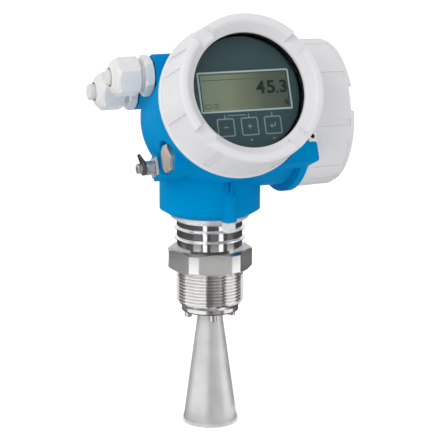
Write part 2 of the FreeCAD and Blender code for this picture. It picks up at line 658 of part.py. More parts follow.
def make_terminals():
    back = d.chamber_floor - d.chamber_wall
    corner = at(HEAD, x=d.block_start, y=-back, z=-d.block_height / 2)
    node("terminal_block", box("terminal_block_body", corner, d.block_length, d.block_depth, d.block_height))
    face = d.block_start + d.block_length
    screws = []
    for i in range(int(d.terminal_count.value)):
        rise = (i - (d.terminal_count.value - 1) / 2) * d.terminal_pitch
        place = at(SIDE, x=-rise, y=-back + d.block_depth / 2, z=face)
        screws.append(cylinder(f"terminal_screw_{i}", place, d.terminal_radius, d.terminal_height))
    node("terminal_screws", fused("terminal_screw_set", screws))
    earth_place = at(HEAD, x=d.block_start + d.block_length / 2, y=-back, z=d.earth_rise,
                     axis=VEC(1, 0, 0), angle=-90)
    node("inner_earth_terminal", cylinder("inner_earth_body", earth_place, d.earth_radius, d.earth_height))


def make_gland(name, frame):
    collar = hexagon(f"{name}_collar", at(frame, z=d.gland_seal, angle=d.collar_turn + 90),
                     d.collar_across, d.collar_thickness)
    collar_top = d.gland_seal + d.collar_thickness
    stem = revolved(f"{name}_stem", ring_outline(
        d.gland_hole, d.gland_stem, collar_top, d.gland_stem_end), frame)
    thread = revolved(f"{name}_thread", ring_outline(
        d.gland_hole, d.gland_thread, -d.gland_thread_length, d.gland_seal), frame)
    hole = cylinder(f"{name}_hole", frame, d.gland_hole, d.gland_stem_end)
    flat = d.collar_across / 2 + d.clearance
    wide = flat + d.hex_reach
    limit = revolved(f"{name}_collar_limit", [
        (0, d.gland_seal), (flat, d.gland_seal), (wide, d.gland_seal + d.hex_chamfer),
        (wide, collar_top - d.hex_chamfer), (flat, collar_top), (0, collar_top),
    ], frame)
    ring = cut(f"{name}_collar_ring", common(f"{name}_collar_hex", [collar, limit]), [hole])
    node(f"gland_body_{name}", fused(f"gland_body_{name}_solid", [ring, stem, thread]))
    node(f"gland_seal_{name}", revolved(f"gland_seal_{name}_ring", ring_outline(
        d.gland_thread + d.hole_gap, d.gland_seal_radius, 0, d.gland_seal), frame))
    node(f"gland_insert_{name}", revolved(f"gland_insert_{name}_body", ring_outline(
        d.insert_bore, d.insert_radius, d.insert_start, d.insert_end), frame))
    make_gland_nut(name, frame)
    make_gland_plug(name, at(frame, z=d.rear_plug_out) if name == "rear" else frame)


def make_gland_nut(name, frame):
    hex_top = d.nut_start + d.nut_length
    top = hex_top + d.dome_length
    prism = hexagon(f"{name}_nut_hex", at(frame, z=d.nut_start, angle=90), d.nut_across,
                    d.nut_length + d.dome_length)
    inside = d.insert_end + d.clearance
    half = d.nut_across / 2
    wide = half + d.hex_reach
    dome = revolved(f"{name}_nut_dome", [
        (d.nut_bore, d.nut_start), (half + d.clearance, d.nut_start), (wide, d.nut_start + d.hex_chamfer),
        (wide, hex_top - d.hex_chamfer), (half - d.hole_gap, hex_top), Round(d.dome_round, -1),
        (d.nut_mouth + d.dome_flat, top), (d.nut_mouth, top), (d.nut_mouth, inside), (d.nut_bore, inside),
    ], frame)
    node(f"gland_nut_{name}", common(f"gland_nut_{name}_solid", [prism, dome]))


def make_gland_plug(name, frame):
    stem = revolved(f"{name}_plug_stem", [
        (0, d.plug_start), (d.plug_radius, d.plug_start), (d.plug_radius, d.plug_end - d.plug_round),
        Round(d.plug_round + d.clearance, -1), (d.plug_radius - d.plug_round, d.plug_end), (0, d.plug_end),
    ], frame)
    notches = []
    for i, side in enumerate((1, -1)):
        place = at(frame, x=d.plug_radius * side, z=d.plug_end - d.notch_length)
        notches.append(cylinder(f"{name}_plug_notch_{i}", place, d.plug_notch, d.notch_length + d.overrun))
    node(f"gland_plug_{name}", cut(f"gland_plug_{name}_cut", stem, notches))


def make_ground_terminal():
    frame = pad_frame()
    half = d.washer_side / 2
    hole = d.ground_screw_shank + d.clearance
    plate = box("washer_plate", at(frame, x=-half, y=-half), d.washer_side, d.washer_side, d.washer_thickness)
    node("ground_washer", cut("ground_washer_cut", plate, [
        cylinder("washer_hole", frame, hole, d.washer_thickness)]))
    base = at(frame, z=d.washer_thickness)
    block = cylinder("clamp_disc", base, d.clamp_radius, d.clamp_thickness)
    wing_root = at(base, x=d.clamp_radius - d.wing_thickness, y=-d.wing_width / 2,
                   z=d.clamp_thickness - d.wing_thickness)
    tilt = at(wing_root, axis=VEC(0, 1, 0), angle=-d.wing_tilt)
    wing = box("clamp_wing", tilt, d.wing_length, d.wing_width, d.wing_thickness)
    node("ground_clamp", cut("ground_clamp_cut", fused("ground_clamp_blank", [block, wing]), [
        cylinder("clamp_hole", base, hole, d.clamp_thickness + d.overrun)]))
    seat = d.washer_thickness + d.clamp_thickness + d.clearance
    tip = d.overrun - d.ground_screw_length
    head_top = seat + d.ground_screw_height
    socket_floor = head_top - d.ground_socket_depth
    node("ground_screw", revolved("ground_screw_body", [
        (0, tip), (d.ground_screw_shank, tip), (d.ground_screw_shank, seat), (d.ground_screw_head, seat),
        (d.ground_screw_head, head_top - d.edge), (d.ground_screw_head - d.edge, head_top),
        (d.ground_socket, head_top), (d.ground_socket, socket_floor), (0, socket_floor),
    ], frame))


def make_stopper():
    frame = stopper_frame()
    head = hexagon("stopper_hex", at(frame, angle=90), d.stopper_across, d.stopper_head)
    flat = d.stopper_across / 2
    wide = flat + d.hex_reach
    limit = revolved("stopper_limit", [
        (0, 0), (wide, 0), (wide, d.stopper_head - d.hex_chamfer), (flat, d.stopper_head),
        (0, d.stopper_head),
    ], frame)
    head_solid = common("stopper_head_solid", [head, limit])
    thread_place = at(frame, z=-d.stopper_length)
    thread = cylinder("stopper_thread_body", thread_place, d.stopper_thread, d.stopper_length)
    node("blanking_plug", fused("blanking_plug_solid", [head_solid, thread]))


def make_cover_lock():
    """A claw on a short screw, with a finger that reaches over the side cover's rim."""
    frame = lock_frame()
    depth = d.lock_front - d.lock_back
    barrel = cylinder("lock_barrel", frame, d.lock_radius, depth)
    foot = box("lock_foot", at(frame, x=-d.lock_radius, y=d.lug_top - d.lock_rise),
               d.lock_radius * 2, d.lock_rise - d.lug_top, depth)
    leaning = at(frame, z=d.finger_back - d.lock_back, angle=-d.finger_lean)
    finger = box("lock_finger", at(leaning, x=-d.finger_width / 2), d.finger_width, d.finger_length,
                 d.finger_thickness)
    hole = cylinder("lock_claw_hole", frame, d.lock_hole, depth)
    node("cover_lock", cut("cover_lock_cut", fused("lock_claw", [barrel, foot, finger]), [hole]))
    node("cover_lock_screw", cylinder("cover_lock_screw_body", at(frame, z=-d.lock_screw_depth),
                                      d.lock_screw_radius, d.lock_screw_depth + depth - d.lock_socket))


def make_housing_lock():
    bolt = boss_frame()
    head = hexagon("bolt_head", at(bolt, z=d.boss_bottom - d.bolt_height - d.clearance),
                   d.bolt_across, d.bolt_height)
    shank = cylinder("bolt_shank_body", at(bolt, z=d.boss_bottom - d.bolt_height), d.bolt_shank,
                     d.bolt_height + d.bolt_tip)
    node("housing_lock_screw", fused("housing_lock_screw_solid", [head, shank]))


def check_document():
    """Stop at any object that failed or any piece without a sound solid."""
    for item in doc.Objects:
        bad = [state for state in item.State if state in ("Invalid", "Error")]
        if bad:
            raise RuntimeError(f"{item.Name} ({item.Label}) is {bad}")
    for piece in nodes:
        if piece.Shape.isNull() or not piece.Shape.isValid() or not piece.Shape.Solids:
            raise RuntimeError(f"{piece.Label} has no sound solid")


make_process_connection()
make_horn()
make_housing()
make_front_cover()
make_side_cover()
make_cover_seals()
make_display()
make_electronics()
make_terminals()
for gland_name, gland_frame in gland_frames():
    make_gland(gland_name, gland_frame)
make_ground_terminal()
make_stopper()
make_cover_lock()
make_housing_lock()
doc.recompute()
check_document()

os.makedirs("parts", exist_ok=True)
for piece in nodes:
    piece.Shape.exportStep(os.path.join("parts", f"{piece.Label}.step"))
print(f"{len(nodes)} pieces written")
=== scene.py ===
# %% [markdown]
# A radar level transmitter with a horn antenna, rebuilt for the studio.
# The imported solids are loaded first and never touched: they are the frame that every piece sits in.
# Everything below is in metres, in the same frame as the solids: the origin is the centre of the
# hexagon's lower face, +Z is up, and the head leans back so that the display looks along -Y and up.

# %% Load the frame
import bmesh
import bpy
from math import atan2, cos, degrees, hypot, pi, radians, sin, sqrt, tan
from mathutils import Matrix, Vector


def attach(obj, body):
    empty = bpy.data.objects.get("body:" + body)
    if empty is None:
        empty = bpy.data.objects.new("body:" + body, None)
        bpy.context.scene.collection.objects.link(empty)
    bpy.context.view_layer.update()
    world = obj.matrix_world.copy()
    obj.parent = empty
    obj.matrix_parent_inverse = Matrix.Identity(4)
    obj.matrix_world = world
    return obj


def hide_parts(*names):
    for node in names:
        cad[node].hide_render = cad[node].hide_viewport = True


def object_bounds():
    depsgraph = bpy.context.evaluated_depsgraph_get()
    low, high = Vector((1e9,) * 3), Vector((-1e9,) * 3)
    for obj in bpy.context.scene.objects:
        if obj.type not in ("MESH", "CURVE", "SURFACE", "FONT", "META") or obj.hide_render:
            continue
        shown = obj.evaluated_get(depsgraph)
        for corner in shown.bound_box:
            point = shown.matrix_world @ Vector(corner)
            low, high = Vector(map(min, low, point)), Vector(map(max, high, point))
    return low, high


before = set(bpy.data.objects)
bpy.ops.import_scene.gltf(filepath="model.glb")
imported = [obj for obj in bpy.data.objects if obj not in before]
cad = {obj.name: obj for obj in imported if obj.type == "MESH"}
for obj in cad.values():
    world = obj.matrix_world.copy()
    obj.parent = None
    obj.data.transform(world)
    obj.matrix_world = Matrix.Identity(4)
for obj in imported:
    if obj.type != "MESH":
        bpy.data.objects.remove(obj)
cad_box = [list(corner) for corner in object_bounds()]

# %% [markdown]
# The head's own directions. Both chambers, the glands and the small parts on the left side are
# laid out square to the leaning head. A piece could be drawn straight in its leaning place, but it
# is far easier to model it upright, round its own Z axis, and to let a matrix carry it over.
# Lengths are written in millimetres and multiplied by MM.

# %% Directions of the head
MM = 0.001
AXIS_HEIGHT = 106.5 * MM
HEAD_TILT = radians(-21.8)

UPRIGHT = Matrix.Identity(4)
HEAD = Matrix.Translation((0, 0, AXIS_HEIGHT)) @ Matrix.Rotation(HEAD_TILT, 4, "X")
FRONT = HEAD @ Matrix.Rotation(radians(90), 4, "X")
SIDE = HEAD @ Matrix.Rotation(radians(90), 4, "Y")
LEFT = HEAD @ Matrix.Rotation(radians(-90), 4, "Y")


def inside(place, x=0.0, y=0.0, z=0.0, turn=0.0):
    """A place within another, moved in millimetres and turned in degrees about its Z axis."""
    return place @ Matrix.Translation((x * MM, y * MM, z * MM)) @ Matrix.Rotation(radians(turn), 4, "Z")


print("display looks along", tuple(round(c, 3) for c in FRONT.to_3x3() @ Vector((0, 0, 1))))

# %% [markdown]
# The camera stands where the photographer stood: a little to the left of the display, a little
# above it, with a long lens. The frame is square, so the lens is given for the sensor's full width.

# %% Camera
CAMERA_PLACE = (-0.39156, -1.05540, 0.29000)
CAMERA_LOOK = Vector((0.34600, 0.91134, -0.22301))
bpy.ops.object.select_all(action="DESELECT")
bpy.ops.object.camera_add(location=CAMERA_PLACE)
camera = bpy.context.object
camera.name = "studio_camera"
camera.rotation_euler = CAMERA_LOOK.to_track_quat("-Z", "Y").to_euler()
camera.data.lens = 133.19
camera.data.sensor_width = 36
bpy.context.scene.camera = camera
bpy.context.scene.view_settings.view_transform = "Standard"
print("lens", camera.data.lens, "mm")

# %% [markdown]
# A white studio. The world is plain white to the camera and in reflections, and softer as a light.
# Lamps alone could light the scene, but each would show as a hard spot in the steel, so the white
# room gives most of the light. Two soft boxes add form: the larger one stands at the upper left.

# %% World
WORLD_LIGHT = 0.70


def rays_seen(tree):
    """A value that is 1 on rays that show what they meet, and 0 on those that only carry light."""
    path = tree.nodes.new("ShaderNodeLightPath")
    value = path.outputs["Is Camera Ray"]
    for kind in ("Is Glossy Ray", "Is Transmission Ray"):
        either = tree.nodes.new("ShaderNodeMath")
        either.operation = "MAXIMUM"
        tree.links.new(value, either.inputs[0])
        tree.links.new(path.outputs[kind], either.inputs[1])
        value = either.outputs[0]
    return value


world = bpy.data.worlds.new("studio_white")
bpy.context.scene.world = world
world.use_nodes = True
tent = world.node_tree
tent.nodes.clear()
level = tent.nodes.new("ShaderNodeMapRange")
level.inputs["To Min"].default_value = WORLD_LIGHT
level.inputs["To Max"].default_value = 1.0
white = tent.nodes.new("ShaderNodeBackground")
white.inputs["Color"].default_value = (1, 1, 1, 1)
tent_out = tent.nodes.new("ShaderNodeOutputWorld")
tent.links.new(rays_seen(tent), level.inputs["Value"])
tent.links.new(level.outputs["Result"], white.inputs["Strength"])
tent.links.new(white.outputs["Background"], tent_out.inputs["Surface"])
print("world at", WORLD_LIGHT)

# %% Lamps


def soft_box(name, place, aim, width, energy):
    """A square area lamp that looks at a point."""
    bpy.ops.object.light_add(type="AREA", location=place)
    lamp = bpy.context.object
    lamp.name = name
    lamp.rotation_euler = (Vector(aim) - Vector(place)).to_track_quat("-Z", "Y").to_euler()
    lamp.data.size = width
    lamp.data.energy = energy
    print(name, energy, "W")


soft_box("key_lamp", (-1.05, -0.70, 0.85), (0, 0, 0.06), 1.0, 7.0)
soft_box("fill_lamp", (0.95, -0.75, 0.05), (0, 0, 0.05), 0.7, 1.3)

# %% [markdown]
# The floor is a wide pale sheet just below the horn's mouth. A sheet that only glows would be as
# white but would lose the object's soft shadow. So it is lit as any surface is, and a little light
# of its own, seen by the camera, in mirrors and through glass, lifts it to the background's white.

# %% Floor
FLOOR_GLOW = 0.47
bpy.ops.object.select_all(action="DESELECT")
bpy.ops.mesh.primitive_circle_add(vertices=96, radius=6, fill_type="NGON",
                                  location=(0, 0, cad_box[0][2] - 0.0002))
floor = bpy.context.object
floor.name = "studio_floor"
paper = bpy.data.materials.new("floor_paper")
paper.use_nodes = True
paper_tree = paper.node_tree
paper_shader = paper_tree.nodes["Principled BSDF"]
paper_shader.inputs["Base Color"].default_value = (0.93, 0.93, 0.93, 1)
paper_shader.inputs["Roughness"].default_value = 0.9
paper_shader.inputs["Specular IOR Level"].default_value = 0.0
paper_shader.inputs["Emission Color"].default_value = (1, 1, 1, 1)
glow = paper_tree.nodes.new("ShaderNodeMath")
glow.operation = "MULTIPLY"
glow.inputs[1].default_value = FLOOR_GLOW
paper_tree.links.new(rays_seen(paper_tree), glow.inputs[0])
paper_tree.links.new(glow.outputs[0], paper_shader.inputs["Emission Strength"])
floor.data.materials.append(paper)
print("floor at", round(floor.location.z, 4))

# %% [markdown]
# Bright steel shows what stands around it. In a white tent it would be white all over, so a
# photographer lays dark cards near the object, and the gaps between them become bright streaks.
# Streaks painted on the steel would stay put when it turns, so real cards are laid here too.
# Seen a little from above, an upright face mirrors the floor, and a higher face mirrors it further
# out: the cards for the connection's foot lie nearest, then the thread's, then the hexagon's, and
# beyond them stand the neck's. The cards are seen by reflections alone: they take no light away and
# never show.

# %% Card helpers
CARD_LEVEL = cad_box[0][2] / MM + 2
CARD_STEPS = 24


def drawn(name, points):
    """A new piece, left in edit mode: one vertex, extruded from point to point in millimetres."""
    bpy.ops.object.select_all(action="DESELECT")
    bpy.ops.mesh.primitive_circle_add(vertices=3, radius=MM)
    piece = bpy.context.object
    piece.name = name
    bpy.ops.object.mode_set(mode="EDIT")
    bpy.ops.mesh.select_mode(type="VERT")
    bpy.ops.mesh.merge(type="CENTER")
    bpy.ops.transform.translate(value=[c * MM for c in points[0]])
    for before, after in zip(points, points[1:]):
        step = [(b - a) * MM for a, b in zip(before, after)]
        bpy.ops.mesh.extrude_vertices_move(TRANSFORM_OT_translate={"value": step})
    return piece


def card_tone(name, value):
    """A plain finish without shine, in one grey."""
    tone = bpy.data.materials.new(name)
    tone.use_nodes = True
    shader = tone.node_tree.nodes["Principled BSDF"]
    shader.inputs["Base Color"].default_value = (value, value, value, 1)
    shader.inputs["Specular IOR Level"].default_value = 0.0
    return tone


def hide_card(card, tone):
    """Gives a card its tone, and shows it to reflections alone."""
    card.data.materials.append(tone)
    for reach in ("camera", "diffuse", "transmission", "volume_scatter", "shadow"):
        setattr(card, f"visible_{reach}", False)
    print(card.name, tone.name)


def dark_card(name, start, end, near, far, tone, rise=0, lift=0):
    """A sheet between two directions, in degrees from the camera's side, that runs out and then up."""
    turn = atan2(camera.location.y, camera.location.x) + radians(start)
    out = Vector((cos(turn), sin(turn), 0))
    foot = Vector((0, 0, CARD_LEVEL + lift))
    line = [near * out + foot]
    if far > near:
        line.append(far * out + foot)
    if rise:
        line.append(far * out + foot + Vector((0, 0, rise)))
    card = drawn(name, line)
    bpy.ops.mesh.select_all(action="SELECT")
    bpy.ops.mesh.spin(steps=CARD_STEPS, angle=-radians(end - start), center=(0, 0, 0), axis=(0, 0, 1))
    bpy.ops.object.mode_set(mode="OBJECT")
    hide_card(card, tone)


# %% Cards round the steel
card_black = card_tone("card_black", 0.012)
card_dark = card_tone("card_dark_grey", 0.10)
card_mid = card_tone("card_mid_grey", 0.22)
card_grey = card_tone("card_grey", 0.35)
card_pale = card_tone("card_pale_grey", 0.92)

# Each row is a card's side, its first and last direction, and its tone.
neck_cards = [
    ("left", -165, -23, card_black), ("middle", -10, 31, card_black), ("right", 46, 150, card_black)]
hexagon_cards = [
    ("far_left", -150, -118, card_black), ("left", -118, -90, card_grey),
    ("beside_left", -90, -58, card_black), ("corner", -30, -23, card_black), ("line", -10, 2, card_black),
    ("front", 2, 30, card_pale), ("beside_right", 46, 62, card_black), ("beside_back", 90, 120, card_black),
    ("right", 120, 152, card_mid)]
thread_cards = [
    ("left", -165, -100, card_mid), ("line", -14, -8, card_black), ("middle", -8, 12, card_dark),
    ("next", 12, 38, card_grey), ("right", 40, 57, card_black), ("back", 104, 165, card_dark)]
for steel, near, far, rise, cards in (("neck", 530, 600, 75, neck_cards),
                                      ("hexagon", 456, 530, 0, hexagon_cards),
                                      ("thread", 45, 455, 0, thread_cards)):
    for side, start, end, tone in cards:
        dark_card(f"{steel}_card_{side}", start, end, near, far, tone, rise)
dark_card("nose_card", -170, 8, 30, 45, card_mid)
dark_card("edge_card", -179, 179, 20.6, 30, card_black)
dark_card("camera_side_card", -70, 70, 950, 950, card_black, rise=450, lift=200)

# %% [markdown]
# One more card hangs where the window would mirror the white tent back to the camera. Its place
# could be found by trial, but a mirror's law gives it at once: the line to the camera, turned over
# about the direction that the glass looks in.

# %% Card for the window
CARD_AWAY = 0.9
CARD_SIZE = 0.42
WINDOW_SEAT = 78 * MM
window_middle = FRONT @ Vector((0, 0, WINDOW_SEAT))
window_out = FRONT.to_3x3() @ Vector((0, 0, 1))
to_camera = (camera.location - window_middle).normalized()
mirrored = 2 * window_out.dot(to_camera) * window_out - to_camera
bpy.ops.object.select_all(action="DESELECT")
bpy.ops.mesh.primitive_plane_add(size=CARD_SIZE, location=window_middle + CARD_AWAY * mirrored)
window_card = bpy.context.object
window_card.name = "card_window"
window_card.rotation_euler = mirrored.to_track_quat("Z", "Y").to_euler()
hide_card(window_card, card_black)

# %% [markdown]
# Finishes come next, because every piece takes one as soon as it is made. Pictures could be wrapped
# round the pieces, but they blur from close by and need unwrapping. So each finish is a node material
# on object coordinates. A few small helpers place the nodes: a noise, a colour ramp and a bump.

# %% Node helpers


def srgb(red, green, blue):
    """A colour as a screen shows it, 0 to 255, turned into the light values that shaders use."""
    def linear(value):
        value /= 255
        return value / 12.92 if value <= 0.04045 else ((value + 0.055) / 1.055) ** 2.4
    return linear(red), linear(green), linear(blue), 1.0


class Finish:
    """A material with its shader, and short ways to add the nodes used here."""

    def __init__(self, name, colour, roughness, metallic=0.0):
        self.material = bpy.data.materials.new(name)
        self.material.use_nodes = True
        self.nodes = self.material.node_tree.nodes
        self.links = self.material.node_tree.links
        self.shader = self.nodes["Principled BSDF"]
        self.shader.inputs["Base Color"].default_value = colour
        self.shader.inputs["Roughness"].default_value = roughness
        self.shader.inputs["Metallic"].default_value = metallic
        self.colour = colour
        self.coordinates = self.nodes.new("ShaderNodeTexCoord")

    def place(self, stretch=(1, 1, 1)):
        """Object coordinates, stretched where a pattern runs in one direction."""
        mapping = self.nodes.new("ShaderNodeMapping")
        mapping.inputs["Scale"].default_value = stretch
        self.links.new(self.coordinates.outputs["Object"], mapping.inputs["Vector"])
        return mapping.outputs["Vector"]

    def noise(self, scale, detail=2.0, stretch=(1, 1, 1)):
        """A cloudy value between 0 and 1, with patches about one metre divided by the scale."""
        node = self.nodes.new("ShaderNodeTexNoise")
        node.inputs["Scale"].default_value = scale
        node.inputs["Detail"].default_value = detail
        self.links.new(self.place(stretch), node.inputs["Vector"])
        return node.outputs["Fac"]

    def ramp(self, value, *stops):
        """Colours along a value, as (position, colour) pairs."""
        node = self.nodes.new("ShaderNodeValToRGB")
        points = node.color_ramp.elements
        while len(points) < len(stops):
            points.new(0.5)
        for point, (position, colour) in zip(points, stops):
            point.position = position
            point.color = colour
        self.links.new(value, node.inputs["Fac"])
        return node.outputs["Color"]

    def spread(self, value, start, end, low=0.0, high=1.0):
        """A value between a start and an end, moved to a range."""
        node = self.nodes.new("ShaderNodeMapRange")
        for socket, number in (("From Min", start), ("From Max", end), ("To Min", low), ("To Max", high)):
            node.inputs[socket].default_value = number
        self.links.new(value, node.inputs["Value"])
        return node.outputs["Result"]

    def sum(self, first, second, weight):
        """One value, with a share of a second added."""
        node = self.nodes.new("ShaderNodeMath")
        node.operation = "MULTIPLY_ADD"
        node.inputs[1].default_value = weight
        self.links.new(second, node.inputs[0])
        self.links.new(first, node.inputs[2])
        return node.outputs[0]

    def paint(self, colour):
        """Links a colour that varies to the shader."""
        self.links.new(colour, self.shader.inputs["Base Color"])

    def tint(self, value, amount):
        """Lets the colour wander a little darker and lighter with a value."""
        dark = tuple(c * (1 - amount) for c in self.colour[:3]) + (1,)
        light = tuple(min(c * (1 + amount), 1) for c in self.colour[:3]) + (1,)
        self.paint(self.ramp(value, (0.3, dark), (0.7, light)))

    def rough(self, value, low, high):
        """Lets the roughness wander between two limits with a noise, which stays near its middle."""
        self.links.new(self.spread(value, 0.25, 0.75, low, high), self.shader.inputs["Roughness"])

    def bump(self, height, strength, distance, edge=0.0):
        """A fine relief. Where an edge radius is given, sharp edges are shaded as if rounded by it."""
        node = self.nodes.new("ShaderNodeBump")
        node.inputs["Strength"].default_value = strength
        node.inputs["Distance"].default_value = distance
        self.links.new(height, node.inputs["Height"])
        self.links.new(node.outputs["Normal"], self.shader.inputs["Normal"])
        if edge:
            rounding = self.nodes.new("ShaderNodeBevel")
            rounding.samples = 6
            rounding.inputs["Radius"].default_value = edge
            self.links.new(rounding.outputs["Normal"], node.inputs["Normal"])


# %% [markdown]
# Powder coat on the castings: a smooth skin with the faint orange-peel ripple that the melted
# powder leaves, about a millimetre across, and a very slow drift of tone over the whole casting.
# The ripple is far too fine to model, so it is a bump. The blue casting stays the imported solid,
# whose edges are sharp, and its coat shades them as if they were rounded.

# %% Coatings


def powder_coat(name, colour, gloss, shine, glint, drift, edge=0.0):
    """A coat with its roughness, its reflection's strength and colour, and its drift of tone."""
    coat = Finish(name, colour, gloss)
    coat.shader.inputs["Specular IOR Level"].default_value = shine
    coat.shader.inputs["Specular Tint"].default_value = glint
    broad_clouds = coat.noise(28, 3)
    polish = coat.noise(140, 2)
    orange_peel = coat.noise(900, 1)
    powder_grain = coat.noise(2600, 0)
    coat.tint(broad_clouds, drift)
    coat.rough(polish, gloss - 0.05, gloss + 0.07)
    coat.bump(coat.sum(orange_peel, powder_grain, 0.35), 0.10, 0.00010, edge)
    return coat.material


blue_coat = powder_coat("blue_powder_coat", (0.0, 0.275, 0.61, 1), gloss=0.48, shine=0.012,
                        glint=(0.0, 0.85, 0.9, 1), drift=0.05, edge=1.2 * MM)
white_coat = powder_coat("white_powder_coat", srgb(230, 230, 232), gloss=0.40, shine=0.4,
                         glint=(1, 1, 1, 1), drift=0.012)
print("coats:", blue_coat.name, white_coat.name)

# %% [markdown]
# Steel from the lathe comes in several states here: bright on the neck, duller on the nose, the collar
# and the hexagon's bevels, and satin on the hexagon's flats and the horn. The thread's steel carries
# painted shade: its colour darkens towards the roots of the grooves, where their shade falls. Turning
# leaves fine rings round the axis. They could be cut into the mesh, but at a tenth of a millimetre
# they would cost millions of faces. So a noise is stretched sideways and squeezed along Z, which
# draws thin level lines on any upright round face.

# %% Steel from the lathe
RING_STRETCH = (60, 60, 9000)
PAINTED_SHADE_REACH = 1.3 * MM
PAINTED_GROOVE_SHADE = 0.8


def turned_steel(name, colour, rough, lines, metal=1.0, root=0.0):
    """Steel from the lathe, with painted shade towards a root radius where one is given: the colour darkens
    there, as shade falls in a groove.
    """
    steel = Finish(name, colour, rough[0], metal)
    rings = steel.noise(1, 2, RING_STRETCH)
    clouds = steel.noise(70, 3)
    # Painted shade: the colour darkens towards the root radius, where shade falls in the thread's grooves.
    if root:
        reach = steel.nodes.new("ShaderNodeVectorMath")
        reach.operation = "LENGTH"
        steel.links.new(steel.place((1, 1, 0)), reach.inputs[0])
        depth = steel.spread(reach.outputs["Value"], root, root + PAINTED_SHADE_REACH)
        dark = tuple(c * PAINTED_GROOVE_SHADE for c in colour[:3]) + (1,)
        steel.paint(steel.ramp(depth, (0.0, dark), (0.55, colour)))
    else:
        steel.tint(clouds, 0.06)
    steel.rough(steel.sum(clouds, rings, 0.5), *rough)
    steel.bump(rings, lines, 0.00006)
    return steel.material


bright_steel = turned_steel("turned_steel", (0.82, 0.815, 0.81, 1), (0.05, 0.11), lines=0.03, metal=0.93)
thread_steel = turned_steel("thread_steel", (0.84, 0.825, 0.81, 1), (0.08, 0.16), lines=0.03, metal=0.95,
                            root=22.4 * MM)
collar_steel = turned_steel("collar_steel", (0.90, 0.89, 0.88, 1), (0.20, 0.28), lines=0.06, metal=0.45)
bevel_steel = turned_steel("bevel_steel", (0.36, 0.355, 0.35, 1), (0.16, 0.22), lines=0.06)
nose_steel = turned_steel("nose_steel", (0.74, 0.73, 0.72, 1), (0.16, 0.24), lines=0.06, metal=0.95)
satin_steel = turned_steel("satin_steel", (0.82, 0.815, 0.805, 1), (0.09, 0.14), lines=0.05, metal=0.95)
horn_steel = turned_steel("horn_satin_steel", (0.77, 0.765, 0.76, 1), (0.32, 0.42), lines=0.10, metal=0.6)
print("steel from the lathe, with rings as fine as", round(1000 / RING_STRETCH[2], 2), "mm")

# %% [markdown]
# The small metal parts are pressed, cast or plated, and show no rings. Screws are bright, the earth
# terminal is dulled by weather, and the claw is pale zinc that hardly mirrors. One cloudy noise
# gives them all their uneven tone and polish, and a finer one their grain: that is enough for
# parts a few millimetres across.

# %% Small metal parts


def plain_metal(name, colour, rough, grain, metal=1.0):
    """A metal with an uneven tone and polish, and a fine grain."""
    part = Finish(name, colour, rough[0], metal)
    clouds = part.noise(160, 4)
    fine_grain = part.noise(1500, 2)
    part.tint(clouds, 0.12)
    part.rough(clouds, *rough)
    part.bump(fine_grain, grain, 0.0001)
    return part.material


fastener_steel = plain_metal("fastener_steel", (0.58, 0.575, 0.565, 1), (0.18, 0.28), grain=0.05)
claw_pale = plain_metal("pale_zinc_claw", (0.88, 0.95, 0.98, 1), (0.38, 0.50), grain=0.05, metal=0.08)
bolt_nickel = plain_metal("pale_nickel", (0.88, 0.90, 0.92, 1), (0.38, 0.50), grain=0.05, metal=0.5)
earth_steel = plain_metal("earth_terminal_steel", (0.58, 0.55, 0.52, 1), (0.28, 0.42), grain=0.12)
earth_dark = plain_metal("browned_steel", (0.16, 0.14, 0.13, 1), (0.30, 0.45), grain=0.12)
earth_zinc = plain_metal("pale_zinc", (0.56, 0.60, 0.61, 1), (0.34, 0.50), grain=0.14)
bare_alloy = plain_metal("bare_cast_alloy", (0.66, 0.60, 0.54, 1), (0.42, 0.58), grain=0.15)
brass = plain_metal("waveguide_brass", (0.72, 0.55, 0.26, 1), (0.22, 0.34), grain=0.05)
print(len(bpy.data.materials), "materials so far")

# %% [markdown]
# Plastics, rubber and inks. Moulded plastic has a fine spark-eroded grain, and each kind differs in
# how much it shines. The display face is a dark blue-grey film with pale print, and the panel's
# figures are dark crystal. Film, ink and crystal lie behind glass, so they hardly shine of their own.

# %% Plastics, rubber and inks


def moulded(name, colour, gloss, grain_scale, grain, shine=0.5):
    """A plastic with its roughness, the scale and strength of its grain, and its shine."""
    plastic = Finish(name, colour, gloss)
    plastic.shader.inputs["Specular IOR Level"].default_value = shine
    broad_clouds = plastic.noise(60, 3)
    polish = plastic.noise(300, 2)
    mould_grain = plastic.noise(grain_scale, 2)
    plastic.tint(broad_clouds, 0.03)
    plastic.rough(polish, gloss - 0.05, gloss + 0.06)
    plastic.bump(mould_grain, grain, 0.0001)
    return plastic.material


gland_white = moulded("gland_polyamide", srgb(232, 231, 230), 0.40, 1800, 0.05)
plug_white = moulded("plug_polyamide", srgb(222, 221, 220), 0.42, 1800, 0.05)
rubber = moulded("seal_rubber", (0.022, 0.022, 0.023, 1), 0.62, 1200, 0.10)
ring_black = moulded("window_ring_black", (0.008, 0.008, 0.009, 1), 0.5, 1500, 0.06)
case_plastic = moulded("inner_plastic", (0.11, 0.12, 0.13, 1), 0.48, 1500, 0.08)
feed_plastic = moulded("feed_plastic", (0.86, 0.85, 0.82, 1), 0.36, 1200, 0.04)
block_plastic = moulded("terminal_plastic", (0.17, 0.29, 0.17, 1), 0.45, 1500, 0.06)

BEHIND_GLASS = 0.05
slate_film = moulded("display_slate_film", srgb(58, 79, 83), 0.42, 2400, 0.04, BEHIND_GLASS)
print_pale = moulded("printed_pale_ink", srgb(184, 200, 198), 0.5, 3000, 0.02, BEHIND_GLASS)
print_dim = moulded("printed_dim_ink", srgb(126, 150, 156), 0.5, 3000, 0.02, BEHIND_GLASS)
crystal_dark = moulded("crystal_dark", srgb(28, 40, 40), 0.45, 3000, 0.0, BEHIND_GLASS)
# This faint crystal tone also paints the shadow along the panel's top edge.
crystal_faint_and_painted_shadow = moulded("crystal_faint_and_painted_shadow", srgb(86, 94, 80), 0.45, 3000, 0.0, BEHIND_GLASS)
print(len(bpy.data.materials), "materials so far")
